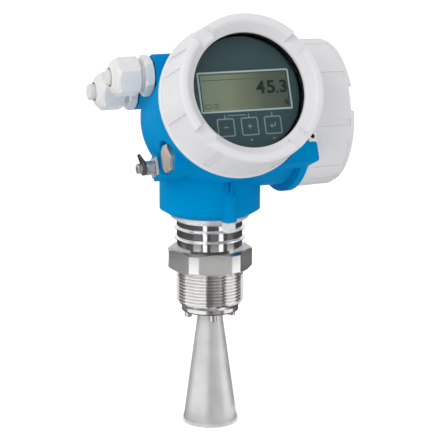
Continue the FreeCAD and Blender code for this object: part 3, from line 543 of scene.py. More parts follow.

# %% [markdown]
# The panel is a grey-green crystal display, with light and shade painted on it: its colour runs along
# a ramp from lighter and greener at the left end to darker at the right. A picture could do the same,
# but a ramp needs no file and has no pixels.

# %% Crystal panel
PANEL_REACH = 0.030
panel = Finish("crystal_panel", srgb(136, 144, 120), 0.30)
panel.shader.inputs["Specular IOR Level"].default_value = BEHIND_GLASS
panel_across = panel.nodes.new("ShaderNodeSeparateXYZ")
panel.links.new(panel.place(), panel_across.inputs["Vector"])
# Painted light and shade: the panel is painted lighter at its left end and darker at its right.
painted_panel_shade = panel.spread(panel_across.outputs["X"], -PANEL_REACH, PANEL_REACH)
panel_shade_and_tone = panel.sum(painted_panel_shade, panel.noise(90, 2), 0.06)
panel.paint(panel.ramp(panel_shade_and_tone, (0.0, srgb(130, 143, 125)), (0.35, srgb(133, 140, 116)),
                       (0.75, srgb(92, 100, 86)), (1.0, srgb(80, 90, 78))))
panel.bump(panel.noise(2600, 0), 0.02, 0.00005)
crystal_panel = panel.material
print("panel fades over", 2 * PANEL_REACH, "m")

# %% [markdown]
# The circuit board sits deep inside the head and hardly shows. Its copper tracks could be drawn one
# by one, but a brick pattern under green lacquer says enough at a glance.
# The window is a clear pane. Its index is set a little under that of common glass, so that the pane
# mirrors less and the display stays plain to read.

# %% Circuit board and glass
board = Finish("solder_mask_green", (0.02, 0.16, 0.06, 1), 0.35)
tracks = board.nodes.new("ShaderNodeTexBrick")
tracks.inputs["Scale"].default_value = 160
tracks.inputs["Color1"].default_value = (0.015, 0.13, 0.05, 1)
tracks.inputs["Color2"].default_value = (0.03, 0.19, 0.08, 1)
tracks.inputs["Mortar"].default_value = (0.06, 0.26, 0.12, 1)
board.links.new(board.place(), tracks.inputs["Vector"])
board.paint(tracks.outputs["Color"])
board.bump(tracks.outputs["Fac"], 0.15, 0.00005)
board_green = board.material

glass = Finish("window_glass", (0.95, 0.98, 0.98, 1), 0.0)
glass.shader.inputs["Transmission Weight"].default_value = 1.0
glass.shader.inputs["IOR"].default_value = 1.25
glass.rough(glass.noise(60, 2), 0.0, 0.015)
window_glass = glass.material
print(len(bpy.data.materials), "materials in all")

# %% [markdown]
# Every solid that stays as it is takes its finish here. The others are modelled again further down,
# and each new piece hides the solid it stands for. So what shows is either a solid with a finish or
# a piece with more detail than its solid.

# %% Finishes on the solids
finish_of = {
    fastener_steel: ["module_screws", "terminal_screws"],
    claw_pale: ["cover_lock"],
    earth_steel: ["inner_earth_terminal"],
    feed_plastic: ["feed_cone"],
    brass: ["waveguide"],
    blue_coat: ["housing", "side_flange"],
    window_glass: ["front_window"],
    rubber: ["neck_seal", "window_gasket", "front_cover_seal", "side_cover_seal", "gland_seal_front",
             "gland_seal_rear", "gland_insert_front", "gland_insert_rear"],
    ring_black: ["window_ring"],
    slate_film: ["display_bezel"],
    crystal_panel: ["lcd_panel"],
    case_plastic: ["display_case", "electronics_module", "hf_module"],
    board_green: ["main_board"],
    block_plastic: ["terminal_block"],
}
for material, names in finish_of.items():
    for name in names:
        cad[name].data.materials.clear()
        cad[name].data.materials.append(material)
print(sum(len(names) for names in finish_of.values()), "solids have their finish")

# %% [markdown]
# Turned pieces. Covers, the connection and the horn are made on a lathe. Cylinders and cones could
# be stacked up, but the lathe's own way is cleaner: half the outline is drawn with one vertex that
# is extruded from point to point, and then spun round the axis. A corner with a third number is
# eased by a small arc of that radius, because no real edge is knife sharp and it is the eased edges
# that catch the light.

# %% Lathe helpers


def eased(outline, arc_steps):
    """An outline in millimetres with its eased corners worked out as points."""
    points = []
    for i, corner in enumerate(outline):
        here = Vector(corner[:2])
        radius = corner[2] if len(corner) > 2 else 0
        if radius == 0:
            points.append(tuple(here))
            continue
        before = (Vector(outline[i - 1][:2]) - here).normalized()
        after = (Vector(outline[(i + 1) % len(outline)][:2]) - here).normalized()
        half = before.angle(after) / 2
        centre = here + (before + after).normalized() * radius / sin(half)
        start = here + before * radius / tan(half) - centre
        sweep = start.angle_signed(here + after * radius / tan(half) - centre)
        for step in range(arc_steps + 1):
            turn = -sweep * step / arc_steps
            points.append((centre.x + start.x * cos(turn) - start.y * sin(turn),
                           centre.y + start.x * sin(turn) + start.y * cos(turn)))
    return points


def turned(name, outline, steps, arc_steps=4):
    """Draws a closed outline of (radius, height) points and spins it round the Z axis."""
    points = [(radius, 0, height) for radius, height in eased(outline, arc_steps)]
    piece = drawn(name, points + points[:1])
    bpy.ops.mesh.select_all(action="SELECT")
    bpy.ops.mesh.spin(steps=steps, angle=2 * pi, center=(0, 0, 0), axis=(0, 0, 1))
    bpy.ops.mesh.select_all(action="SELECT")
    bpy.ops.mesh.remove_doubles(threshold=1e-6)
    bpy.ops.mesh.normals_make_consistent(inside=False)
    bpy.ops.object.mode_set(mode="OBJECT")
    return piece


# %% [markdown]
# Some moves come back with every piece. An operator acts on all that is selected, so a piece is
# chosen alone first. A modifier could stay live, but it is applied at once, so that the next step
# works on the real mesh. A finished piece then takes its place, its finish and its body.

# %% Helpers for every piece


def choose(piece):
    """Selects one piece and nothing else."""
    bpy.ops.object.select_all(action="DESELECT")
    piece.select_set(True)
    bpy.context.view_layer.objects.active = piece


def apply_modifier(piece, kind, **settings):
    """Adds a modifier, sets it and applies it at once."""
    modifier = piece.modifiers.new(kind.lower(), kind)
    for setting, value in settings.items():
        setattr(modifier, setting, value)
    bpy.context.view_layer.objects.active = piece
    bpy.ops.object.modifier_apply(modifier=modifier.name)


def ease_edges(piece, width, segments=2, angle=28):
    """Rounds every edge that bends by more than an angle in degrees."""
    apply_modifier(piece, "BEVEL", width=width * MM, segments=segments, limit_method="ANGLE",
                   angle_limit=radians(angle))


def moved(piece, place):
    """A piece put in a place for good."""
    piece.matrix_world = place
    choose(piece)
    bpy.ops.object.transform_apply(location=True, rotation=True, scale=True)
    return piece


def settle(piece, place, material, body, slot, *nodes, smooth=30):
    """Puts a finished piece in its place, with its finish, on its body, for the nodes it stands for."""
    moved(piece, place)
    bpy.ops.object.shade_smooth_by_angle(angle=radians(smooth))
    apply_modifier(piece, "WEIGHTED_NORMAL", keep_sharp=True, weight=80)
    piece.data.materials.clear()
    piece.data.materials.append(material)
    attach(piece, body)
    if nodes:
        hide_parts(*nodes)
    print(piece.name, len(piece.data.polygons), "faces")
    return piece


# %% [markdown]
# The two covers screw on to the chambers. Both have a plain rim, a slightly tapered wall with
# shallow grip grooves and sectors, and a raised ring at the front with four notches for a bar.
# The wall is spun first. Grips and notches could be taken out with solid tools, which leaves long
# thin faces. So the grips are faces pushed in towards the axis, and the notches are made by slicing
# the mesh along their sides and pressing what lies between down to the notch's floor.

# %% Picking faces and points


def pick(piece, kind, test):
    """In edit mode, selects the faces or points that pass a test in millimetres, and no others."""
    bpy.ops.mesh.select_mode(type=kind)
    bpy.ops.mesh.select_all(action="DESELECT")
    mesh = bmesh.from_edit_mesh(piece.data)
    if kind == "FACE":
        for face in mesh.faces:
            face.select_set(bool(test(face.calc_center_median() / MM)))
    else:
        for point in mesh.verts:
            point.select_set(bool(test(point.co / MM)))
        mesh.select_flush_mode()
    bmesh.update_edit_mesh(piece.data)


# %% Grips and notches
# Each row is a grip's middle and width in degrees, and its depth.
GRIPS = ((-19, 5, 1.2), (19, 5, 1.2), (45, 24, 0.9))
WALL = 4
SIDE_SLACK = 0.05
FLOOR_SLACK = 0.01


def push_in(piece, middle, width, low, high, depth, radius):
    """Pushes the wall in by a depth, at an angle from each notch, four times round."""
    choose(piece)
    bpy.ops.object.mode_set(mode="EDIT")

    def in_grip(point):
        if hypot(point.x, point.y) < radius - WALL or not low < point.z < high:
            return False
        turn = degrees(atan2(point.y, point.x)) - middle
        return abs((turn + 45) % 90 - 45) < width / 2

    pick(piece, "FACE", in_grip)
    bpy.ops.mesh.extrude_region_move()
    shrink = 1 - depth / radius
    bpy.ops.transform.resize(value=(shrink, shrink, 1), center_override=(0, 0, 0))
    bpy.ops.object.mode_set(mode="OBJECT")


def notch_cover(piece, width, floor_height):
    """Presses four notches into the front ring, on the X and Y axes."""
    half = width / 2
    choose(piece)
    bpy.ops.object.mode_set(mode="EDIT")
    for across in ((1, 0, 0), (0, 1, 0)):
        for side in (-1, 1):
            bpy.ops.mesh.select_all(action="SELECT")
            bpy.ops.mesh.bisect(plane_co=tuple(c * side * half * MM for c in across), plane_no=across)
    reach = half - SIDE_SLACK

    def in_notch(point):
        return point.z > floor_height + FLOOR_SLACK and (abs(point.x) < reach or abs(point.y) < reach)

    pick(piece, "VERT", in_notch)
    bpy.ops.transform.resize(value=(1, 1, 0), center_override=(0, 0, floor_height * MM))
    bpy.ops.mesh.select_all(action="SELECT")
    bpy.ops.mesh.remove_doubles(threshold=0.00002)
    bpy.ops.mesh.dissolve_degenerate(threshold=0.00001)
    bpy.ops.object.mode_set(mode="OBJECT")


# %% Covers
COVER_STEPS = 360
COVER_EASE = 0.28
COVER_SHARP = 32


def cast_cover(node, outline, low, high, radius, grip, notch_width, notch_floor, place):
    """Spins a cover, pushes its grips in by a share of their depth, notches it and seats it."""
    cover = turned(f"{node}_cast", outline, COVER_STEPS)
    for middle, width, depth in GRIPS:
        push_in(cover, middle, width, low, high, depth * grip, radius)
    notch_cover(cover, notch_width, notch_floor)
    ease_edges(cover, COVER_EASE, angle=COVER_SHARP)
    settle(cover, place, white_coat, node, "white_coating", node)


cast_cover("front_cover", [
    (47, 0), (52.5, 0, 0.4), (52.5, 2.6, 0.4), (51.9, 3.2), (51.75, 5.0), (49.77, 33.6), (49.62, 35.7),
    (49.55, 38.3, 2.4), (45.2, 38.3, 0.5), (43.6, 37.2, 0.4), (40.4, 33.6), (38.5, 31.6, 0.3),
    (38.5, 29.6), (42.1, 29.6), (42.1, 23.8), (43.9, 23.8), (43.9, 20.3), (45, 20.3), (45, 14), (47, 14),
    (47, 3.5), (50, 3.5), (50, 0.7), (47, 0.7)],
    low=4.8, high=35.8, radius=50.5, grip=1.0, notch_width=13, notch_floor=33.6,
    place=inside(FRONT, z=49.6, turn=38.5))

cast_cover("side_cover", [
    (47, 0), (52.5, 0, 0.4), (52.5, 2.6, 0.4), (51.9, 3.2), (51.85, 5.0), (51.3, 28.2),
    (51.2, 32.9, 4.4), (45.2, 32.9, 0.5), (43.6, 31.8, 0.4), (39.9, 29.35), (39.0, 29.1), (0, 29.1),
    (0, 25.1), (45, 25.1), (45, 14), (47, 14), (47, 3.5), (50, 3.5), (50, 0.7), (47, 0.7)],
    low=4.8, high=28.5, radius=51.5, grip=0.6, notch_width=17.5, notch_floor=29.3,
    place=inside(SIDE, z=55, turn=3))

# %% [markdown]
# The process connection is one turned bar: a lip, the pipe thread, a hexagon and two cooling fins
# below the collar that the head turns on. It could be one mesh, but its stretches are finished
# differently: a dull nose, a bright neck and a pale collar. So each is spun on its own, and the nose
# is a plain core where the thread runs. A thin black ring at the lip is painted shade: it stands in
# for the shadow gap between the nose and the horn's flange.

# %% Connection bar
BAR_STEPS = 192


def bar_piece(name, outline, material, *nodes, slot="stainless_steel"):
    """A turned stretch of the upright bar, drawn in its place."""
    settle(turned(name, outline, BAR_STEPS), UPRIGHT, material, "sensor", slot, *nodes)


bar_piece("connection_nose", [
    (6.6, -27.2), (18.6, -27.2), (18.6, -30.4, 0.2), (20.1, -30.4, 0.3), (20.1, -27.1, 0.3), (21.9, -25.0),
    (22.0, -24.5), (22.0, 0.5), (6.6, 0.5)], nose_steel)
# Painted shade: a thin black ring that draws the shadow gap between the nose and the horn's flange.
bar_piece("lip_painted_shadow_ring", [
    (18.8, -30.25), (20.2, -30.25, 0.15), (20.2, -29.6, 0.15), (18.8, -29.6)], rubber, slot="seal_rubber")
bar_piece("connection_bar", [
    (6.6, 0.5), (23.4, 0.5), (23.4, 21.8, 0.3), (25, 21.8, 0.3), (25, 23.4, 1.0), (23.4, 23.4, 0.3),
    (23.4, 29.2, 0.3), (25, 29.2, 0.3), (25, 30.8, 1.0), (23.4, 30.8, 0.3), (23.4, 34.7),
    (21, 34.7), (21, 63.5, 0.4), (6.6, 63.5)], bright_steel, "process_connection")
bar_piece("connection_collar", [
    (21, 34.7), (23.4, 34.7, 0.3), (27.5, 37.5, 0.5), (27.5, 39.5), (24.6, 39.5), (24.6, 63.5, 0.4),
    (21, 63.5)], collar_steel)

# %% [markdown]
# The thread is a real helix. Level rings would be quicker, but from the side a thread's lines climb,
# and anyone who has held one sees the difference. So one tooth of the 55 degree pipe form is drawn
# beside the axis, and the Screw modifier sweeps it up a pitch for each turn.

# %% Sweep of the pipe thread
PITCH = 2.309
CREST = 23.9
TOOTH = 1.479
ROOT = CREST - TOOTH
FLANK_LOW = CREST - TOOTH * 0.9
FLANK_HIGH = CREST - TOOTH * 0.1
THREAD_TOP = 0.4
THREAD_BOTTOM = -24.9
THREAD_STEPS = 96
TURNS = 16
tooth = [(ROOT, 0), (ROOT, 0.12), (FLANK_LOW, 0.24), (FLANK_HIGH, 0.86), (CREST, 1.0), (CREST, 1.31),
         (FLANK_HIGH, 1.45), (FLANK_LOW, 2.07), (ROOT, 2.19), (ROOT, PITCH)]
start_height = THREAD_BOTTOM - 2 * PITCH
thread = drawn("connection_thread", [(radius, 0, height + start_height) for radius, height in tooth])
bpy.ops.object.mode_set(mode="OBJECT")
apply_modifier(thread, "SCREW", axis="Z", angle=2 * pi, screw_offset=PITCH * MM, iterations=TURNS,
               steps=THREAD_STEPS, render_steps=THREAD_STEPS, use_merge_vertices=True, merge_threshold=1e-6)
print("swept", TURNS, "turns")

# %% [markdown]
# The helix is too long at both ends, so it is sliced level there. A thread that stops short would
# show a blunt step. So its lower turns are drawn in along the bar's chamfer, and its last ones under
# the hexagon fade out, as they do on a cut thread. A sleeve inside the core joins the two cuts, so
# that the mesh is closed.

# %% Ends of the pipe thread
CHAMFER_TOP = -22.7
CHAMFER_IN = 3.8
CHAMFER_DOWN = 4.4
RUN_OUT = -1.0
RUN_OUT_RATE = 0.5
SLEEVE = 0.9
bpy.ops.object.mode_set(mode="EDIT")
bpy.ops.mesh.select_all(action="SELECT")
bpy.ops.mesh.remove_doubles(threshold=1e-6)
for height, above in ((THREAD_TOP, True), (THREAD_BOTTOM, False)):
    bpy.ops.mesh.select_all(action="SELECT")
    bpy.ops.mesh.bisect(plane_co=(0, 0, height * MM), plane_no=(0, 0, 1), clear_outer=above,
                        clear_inner=not above)
bpy.ops.object.mode_set(mode="OBJECT")
for point in thread.data.vertices:
    reach = hypot(point.co.x, point.co.y) / MM
    height = point.co.z / MM
    limit = CREST
    if height <= CHAMFER_TOP:
        limit = CREST - (CHAMFER_TOP - height) * CHAMFER_IN / CHAMFER_DOWN
    if height > RUN_OUT:
        limit = min(limit, CREST - TOOTH * (height - RUN_OUT) * RUN_OUT_RATE)
    if reach > limit:
        point.co.x *= limit / reach
        point.co.y *= limit / reach
bpy.ops.object.mode_set(mode="EDIT")
bpy.ops.mesh.select_mode(type="EDGE")
bpy.ops.mesh.select_all(action="DESELECT")
bpy.ops.mesh.select_non_manifold(use_wire=False, use_multi_face=False, use_non_contiguous=False,
                                 use_verts=False)
bpy.ops.mesh.extrude_region_move()
bpy.ops.transform.resize(value=(SLEEVE, SLEEVE, 1), center_override=(0, 0, 0))
bpy.ops.mesh.bridge_edge_loops()
bpy.ops.mesh.select_all(action="SELECT")
bpy.ops.mesh.normals_make_consistent(inside=False)
bpy.ops.object.mode_set(mode="OBJECT")
settle(thread, UPRIGHT, thread_steel, "sensor", "stainless_steel", smooth=24)

# %% [markdown]
# The hexagon is milled from the same bar. A bevelled prism would have straight bevels, and a real
# one has curved ones, where the flats meet the turning. So its prism is crossed with a turned blank
# whose edges are bevelled. The flats are ground, and the bevels keep the lathe's duller face, so
# every face that looks up takes a second, darker steel.

# %% Hexagon helpers
BLANK_STEPS = 144


def carve(piece, tool, operation="DIFFERENCE"):
    """Takes a tool's shape out of a piece, or keeps what both share, and removes the tool."""
    apply_modifier(piece, "BOOLEAN", operation=operation, object=tool, solver="EXACT")
    bpy.data.objects.remove(tool)


def prism(across, bottom, top, turn=0.0):
    """A six-sided prism. Unturned, it has a corner on the Y axis."""
    bpy.ops.object.select_all(action="DESELECT")
    bpy.ops.mesh.primitive_cylinder_add(vertices=6, radius=across / sqrt(3) * MM, depth=(top - bottom) * MM,
                                        location=(0, 0, (top + bottom) / 2 * MM),
                                        rotation=(0, 0, radians(turn)))
    bpy.ops.object.transform_apply(location=True, rotation=True, scale=True)
    return bpy.context.object


def hexagon(name, across, bottom, top, outline, corner, ease):
    """A prism kept only where it lies inside a turned outline, with its edges eased.

    The corner is the direction of one of its corners, in degrees from the X axis.
    """
    blank = turned(f"{name}_blank", outline, BLANK_STEPS)
    piece = prism(across, bottom, top, corner - 90)
    piece.name = name
    carve(piece, blank, "INTERSECT")
    ease_edges(piece, ease)
    return piece


# %% Hexagon of the connection
LOOKS_UP = 0.25
hex_nut = hexagon("connection_hexagon", 55, -0.5, 15.9, [
    (22.5, 0), (26.8, 0), (29.8, 1.73, 0.2), (29.8, 13.67, 0.2), (26.8, 15.4), (22.5, 15.4)],
    corner=17.6 - 90, ease=0.12)
settle(hex_nut, UPRIGHT, satin_steel, "sensor", "stainless_steel", smooth=22)
hex_nut.data.materials.append(bevel_steel)
for face in hex_nut.data.polygons:
    face.material_index = int(face.normal.z > LOOKS_UP)
print(sum(face.material_index for face in hex_nut.data.polygons), "faces look up")

# %% [markdown]
# The horn is spun sheet and turned flange in one: a plain cone, and a short flare at the mouth. A
# cone primitive has neither wall nor flare, so it is one more outline for the lathe, drawn down the
# outside and back up the inside.

# %% Horn
bar_piece("horn_cone", [
    (6.6, -27.3), (18.4, -27.3), (18.4, -30.5, 0.3), (8.25, -30.5, 0.9), (18.55, -107, 6), (20, -113.3, 0.35),
    (18.7, -113.3, 0.35), (17.25, -107, 6), (6.95, -31.1), (6.6, -30.5)], horn_steel, "horn")

# %% [markdown]
# Four cap screws hold the horn's flange, each on a spring washer. The head is turned, and a six-sided
# plug is taken out of it for the socket. The washer is a ring whose ends don't quite meet. One of
# each is modelled, and copies of it are set round the axis: the screws alike, the washers each with
# its gap elsewhere, as they come to rest in use.

# %% Cap screw helpers


def copy_of(piece, name):
    """A second piece with a mesh of its own."""
    choose(piece)
    bpy.ops.object.duplicate()
    twin = bpy.context.object
    twin.name = name
    return twin


def joined(name, pieces):
    """Several pieces as one, named anew."""
    choose(pieces[0])
    for piece in pieces:
        piece.select_set(True)
    if len(pieces) > 1:
        bpy.ops.object.join()
    pieces[0].name = name
    return pieces[0]


def block(name, size, middle=(0, 0, 0)):
    """A box of a size about a middle, in millimetres."""
    bpy.ops.object.select_all(action="DESELECT")
    bpy.ops.mesh.primitive_cube_add(size=1, location=[c * MM for c in middle])
    piece = bpy.context.object
    piece.name = name
    piece.scale = [c * MM for c in size]
    bpy.ops.object.transform_apply(location=True, rotation=True, scale=True)
    return piece


def hex_socket(piece, across, floor_height, mouth_height):
    """Takes a six-sided socket out of a piece, from a floor up past its mouth."""
    carve(piece, prism(across, floor_height, mouth_height + 1))


def cap_screw(name, shank, tip, head, top, socket, socket_floor, steps):
    """A cap screw along Z whose head sits on height 0."""
    screw = turned(name, [(0, tip), (shank, tip, shank * 0.2), (shank, 0), (head, 0, 0.15), (head, top, 0.4),
                          (0, top)], steps)
    hex_socket(screw, socket, socket_floor, top)
    return screw


# %% Horn screws and washers
UPSIDE_DOWN = Matrix.Rotation(pi, 4, "X")
SCREW_CIRCLE = 15.4
SCREW_SEAT = -31.7
FIRST_SCREW = -13
horn_screw = cap_screw("horn_screw", shank=1.5, tip=-9, head=2.7, top=4, socket=2.6, socket_floor=1.8,
                       steps=48)
spring = turned("horn_spring", [(1.75, 0), (2.6, 0, 0.12), (2.6, 1.15, 0.12), (1.75, 1.15)], 60)
gap = block("horn_spring_gap", (3, 0.35, 4))
carve(spring, moved(gap, inside(UPRIGHT, x=2.2, z=0.6) @ Matrix.Rotation(radians(25), 4, "X")))
screws = []
springs = []
for i in range(4):
    place = inside(inside(UPRIGHT, turn=90 * i + FIRST_SCREW), y=-SCREW_CIRCLE, z=SCREW_SEAT)
    screws.append(moved(copy_of(horn_screw, f"horn_screw_{i}"), place @ UPSIDE_DOWN))
    springs.append(moved(copy_of(spring, f"horn_spring_{i}"), inside(place, turn=70 + 40 * i)))
bpy.data.objects.remove(horn_screw)
bpy.data.objects.remove(spring)
settle(joined("horn_cap_screws", screws), UPRIGHT, fastener_steel, "sensor", "fastener_steel", "horn_screws")
settle(joined("horn_spring_washers", springs), UPRIGHT, fastener_steel, "sensor", "fastener_steel",
       "horn_washers")

# %% [markdown]
# The hexagon bolt under the neck's boss holds the head where it is turned to. It has a turned bevel
# below and a round washer face above, so it comes from the same helper as the large hexagon, and a
# plain turned shank is joined to it.

# %% Head bolt
BOSS = inside(UPRIGHT, turn=3)
bolt_head = hexagon("bolt_hexagon", 8.6, 32.4, 39.8, [
    (0, 32.5), (3.6, 32.5), (5.2, 33.4), (5.2, 39.0), (4.1, 39.5), (4.1, 39.7), (0, 39.7)],
    corner=0, ease=0.12)
bolt_shank = turned("bolt_shank", [(0, 39.4), (2, 39.4), (2, 52, 0.3), (0, 52)], 48)
settle(joined("head_bolt", [bolt_head, bolt_shank]), inside(BOSS, y=-33), bolt_nickel, "housing_lock_screw",
       "fastener_steel", "housing_lock_screw")

# %% [markdown]
# Two thin webs tie the boss to the head above it, and the gap between them shows as a short dark line.
# A dark stripe painted on the casting would look flat from the side. So a block is sloped where it
# meets the boss, its edges are rounded, and a copy stands beside it.

# %% Boss webs
web = block("boss_web_left", (1.2, 3.0, 8.4))
bpy.ops.object.mode_set(mode="EDIT")
pick(web, "VERT", lambda point: point.z < 0 and point.y < 0)
bpy.ops.transform.translate(value=(0, 0, 1.2 * MM))
bpy.ops.object.mode_set(mode="OBJECT")
ease_edges(web, 0.3, segments=3, angle=30)
for piece, across in ((web, -2.9), (copy_of(web, "boss_web_right"), 0.1)):
    settle(piece, inside(BOSS, x=across, y=-35.7, z=64.2), blue_coat, "housing", "blue_coating")

# %% [markdown]
# The cable glands are moulded polyamide: a hexagon collar that screws into the head, a domed nut that
# squeezes the seal, and a blanking plug with two pry notches in its edge. Both glands are alike, so
# one is modelled upright with the lathe and hexagon helpers, and then copied to its two places.

# %% One cable gland
collar = hexagon("gland_collar", 24.4, 1, 7, [
    (7.6, 1), (12.5, 1), (14.2, 2.0, 0.3), (14.2, 6.0, 0.3), (12.5, 7), (7.6, 7)], corner=110, ease=0.3)
gland_stem = turned("gland_stem", [
    (7.6, -11), (9.9, -11), (9.9, 1), (9.9, 7), (9.0, 7.3), (9.6, 7.75), (9.6, 8.0), (9.0, 8.45), (9.6, 8.9),
    (9.6, 9.15), (9.0, 9.6), (9.6, 10.05), (9.6, 22), (7.6, 22)], 96)
gland_body = joined("gland_body_moulded", [collar, gland_stem])
gland_nut = hexagon("gland_nut_moulded", 24, 10.2, 29.3, [
    (9.95, 10.2), (12.2, 10.2), (14.0, 11.2, 0.4), (14.0, 23.7, 0.5), (11.9, 25.1, 0.3), (11.1, 26.6, 3.2),
    (7.3, 29.3, 0.4), (6.5, 29.3, 0.2), (6.5, 27.7), (9.95, 27.7)], corner=90, ease=0.45)
gland_plug = turned("gland_plug_moulded", [(0, 15), (5.5, 15), (5.5, 31.4, 1.4), (0, 31.4)], 96, arc_steps=6)
for side in (1, -1):
    bpy.ops.object.select_all(action="DESELECT")
    bpy.ops.mesh.primitive_cylinder_add(vertices=24, radius=1.3 * MM, depth=8 * MM,
                                        location=(side * 5.5 * MM, 0, 30.4 * MM))
    carve(gland_plug, bpy.context.object)
print("one gland:", [len(piece.data.polygons) for piece in (gland_body, gland_nut, gland_plug)], "faces")

# %% Both cable glands
GLAND_RISE = 27.5
GLAND_SEAT = 45.4
for end, front, plug_out in (("rear", -19.75, 2.2), ("front", 19.75, 0)):
    for master, material, body, slot, node, out in (
            (gland_body, gland_white, "housing", "gland_plastic", f"gland_body_{end}", 0),
            (gland_nut, gland_white, f"nut_{end}", "gland_plastic", f"gland_nut_{end}", 0),
            (gland_plug, plug_white, f"plug_{end}", "plug_plastic", f"gland_plug_{end}", plug_out)):
        piece = copy_of(master, f"{node}_moulded")
        settle(piece, inside(LEFT, x=GLAND_RISE, y=-front, z=GLAND_SEAT + out), material, body, slot, node)
for master in (gland_body, gland_nut, gland_plug):
    bpy.data.objects.remove(master)

# %% [markdown]
# The earth terminal: a square plate on the pad, a waisted spacer, a clamp with a bent wing that keeps
# the wire in, and a cap screw. Plate and spacer are pale zinc, and the clamp has gone brown outdoors.
# The round pieces are turned. The plate and the wing are blocks with eased edges, and the wing's far
# end is drawn in and tilted, which is simpler than bending a strip.

# %% Earth terminal
EARTH = inside(LEFT, x=-33.5, y=-7.5, z=46)
WING_TILT = radians(-22)
plate = block("earth_plate", (12.5, 12.5, 1.8), (0, 0, 0.9))
ease_edges(plate, 0.35, segments=3, angle=30)
settle(plate, EARTH, earth_zinc, "housing", "earth_steel", "ground_washer")

spacer = turned("earth_spacer", [
    (3.2, 1.8), (3.7, 1.8), (3.7, 2.6), (4.9, 2.6, 0.3), (4.9, 7.3, 0.3), (3.6, 7.3), (3.6, 8.0),
    (3.2, 8.0)], 72)
settle(spacer, EARTH, earth_zinc, "housing", "earth_steel")

clamp_ring = turned("earth_clamp_ring", [(3.2, 8.0), (4.9, 8.0, 0.3), (4.9, 10.0, 0.4), (3.2, 10.0)], 72)
wing = block("earth_clamp_wing", (7.0, 5.5, 2.6), (3.5, 0, 1.3))
bpy.ops.object.mode_set(mode="EDIT")
pick(wing, "VERT", lambda point: point.x > 4)
bpy.ops.transform.resize(value=(1, 0.62, 0.45), center_override=(0, 0, 1.3 * MM))
bpy.ops.object.mode_set(mode="OBJECT")
ease_edges(wing, 0.3, segments=3, angle=30)
moved(wing, inside(UPRIGHT, x=3.8, z=7.5) @ Matrix.Rotation(WING_TILT, 4, "Y"))
settle(joined("earth_clamp", [clamp_ring, wing]), EARTH, earth_dark, "housing", "earth_steel", "ground_clamp")

earth_screw = cap_screw("earth_cap_screw", shank=2.9, tip=-19.2, head=3.5, top=3.3, socket=3.0,
                        socket_floor=1.8, steps=64)
settle(earth_screw, inside(EARTH, z=10.2), earth_steel, "ground_screw", "earth_steel", "ground_screw")

# %% [markdown]
# The blanking plug closes the spare entry: a low hexagon head, bevelled round its face, on a short
# thread. The thread is out of sight in the boss, so it stays a plain turned stub.

# %% Blanking plug
plug_head = hexagon("stopper_head", 18, 0, 3.4, [
    (0, 0), (10.8, 0), (10.8, 2.3, 0.3), (9.0, 3.3, 0.4), (0, 3.4)], corner=90, ease=0.25)
plug_thread = turned("stopper_thread", [(0, -5), (7.9, -5, 0.4), (7.9, 0.2), (0, 0.2)], 96)
stopper = joined("blanking_plug_hexagon", [plug_head, plug_thread])
settle(stopper, inside(LEFT, x=-31, y=-24, z=41), bare_alloy, "housing", "bare_metal", "blanking_plug")

# %% [markdown]
# The claw that secures the covers has a small socket screw, whose mouth shows as a dark dot. A black
# disc would do from afar, but a real socket keeps its depth from close by, and the helper is there.

# %% Lock screw
lock_screw = turned("cover_lock_socket_screw", [(0, -6), (1.4, -6), (1.4, 5.2, 0.15), (0, 5.2)], 40)
hex_socket(lock_screw, 1.7, 3.6, 5.2)
settle(lock_screw, inside(FRONT, x=51.7, y=-27.8, z=47), earth_dark, "cover_lock_screw", "fastener_steel",
       "cover_lock_screw")

# %% [markdown]
# Marks on the display. The face is printed film: a pale line round the panel, three key fields with
# short leads, and small signs. They could be drawn in a material, but such lines turn soft when the
# finish is baked into a picture. So each mark is a thin plate, which stays crisp from close by.

# %% Mark helpers
# Heights of the film and of the panel along the display's axis, and the thickness of a mark.
FACE = 70.9
PANEL = 70.6
INK = 0.05


def mark(name, x, y, width, height, corner=0.0, line=0.0, turn=0.0, base=FACE):
    """A thin printed field, or only its outline where a line width is given, in millimetres."""
    bpy.ops.object.select_all(action="DESELECT")
    bpy.ops.mesh.primitive_plane_add(size=1)
    piece = bpy.context.object
    piece.name = name
    piece.scale = (width * MM, height * MM, 1)
    bpy.ops.object.transform_apply(location=True, rotation=True, scale=True)
    bpy.ops.object.mode_set(mode="EDIT")
    if corner:
        bpy.ops.mesh.bevel(offset=corner * MM, segments=4, affect="VERTICES")
    bpy.ops.mesh.select_mode(type="FACE")
    bpy.ops.mesh.select_all(action="SELECT")
    if line:
        bpy.ops.mesh.inset(thickness=line * MM)
        bpy.ops.mesh.delete(type="FACE")
        bpy.ops.mesh.select_all(action="SELECT")
    bpy.ops.mesh.extrude_region_move(TRANSFORM_OT_translate={"value": (0, 0, INK * MM)})
    bpy.ops.mesh.select_all(action="SELECT")
    bpy.ops.mesh.normals_make_consistent(inside=False)
    bpy.ops.object.mode_set(mode="OBJECT")
    return moved(piece, inside(UPRIGHT, x, y, base, turn))


def printed(name, pieces, material, slot):
    """Marks of one ink as one piece, on the display."""
    settle(joined(name, pieces), FRONT, material, "display", slot)


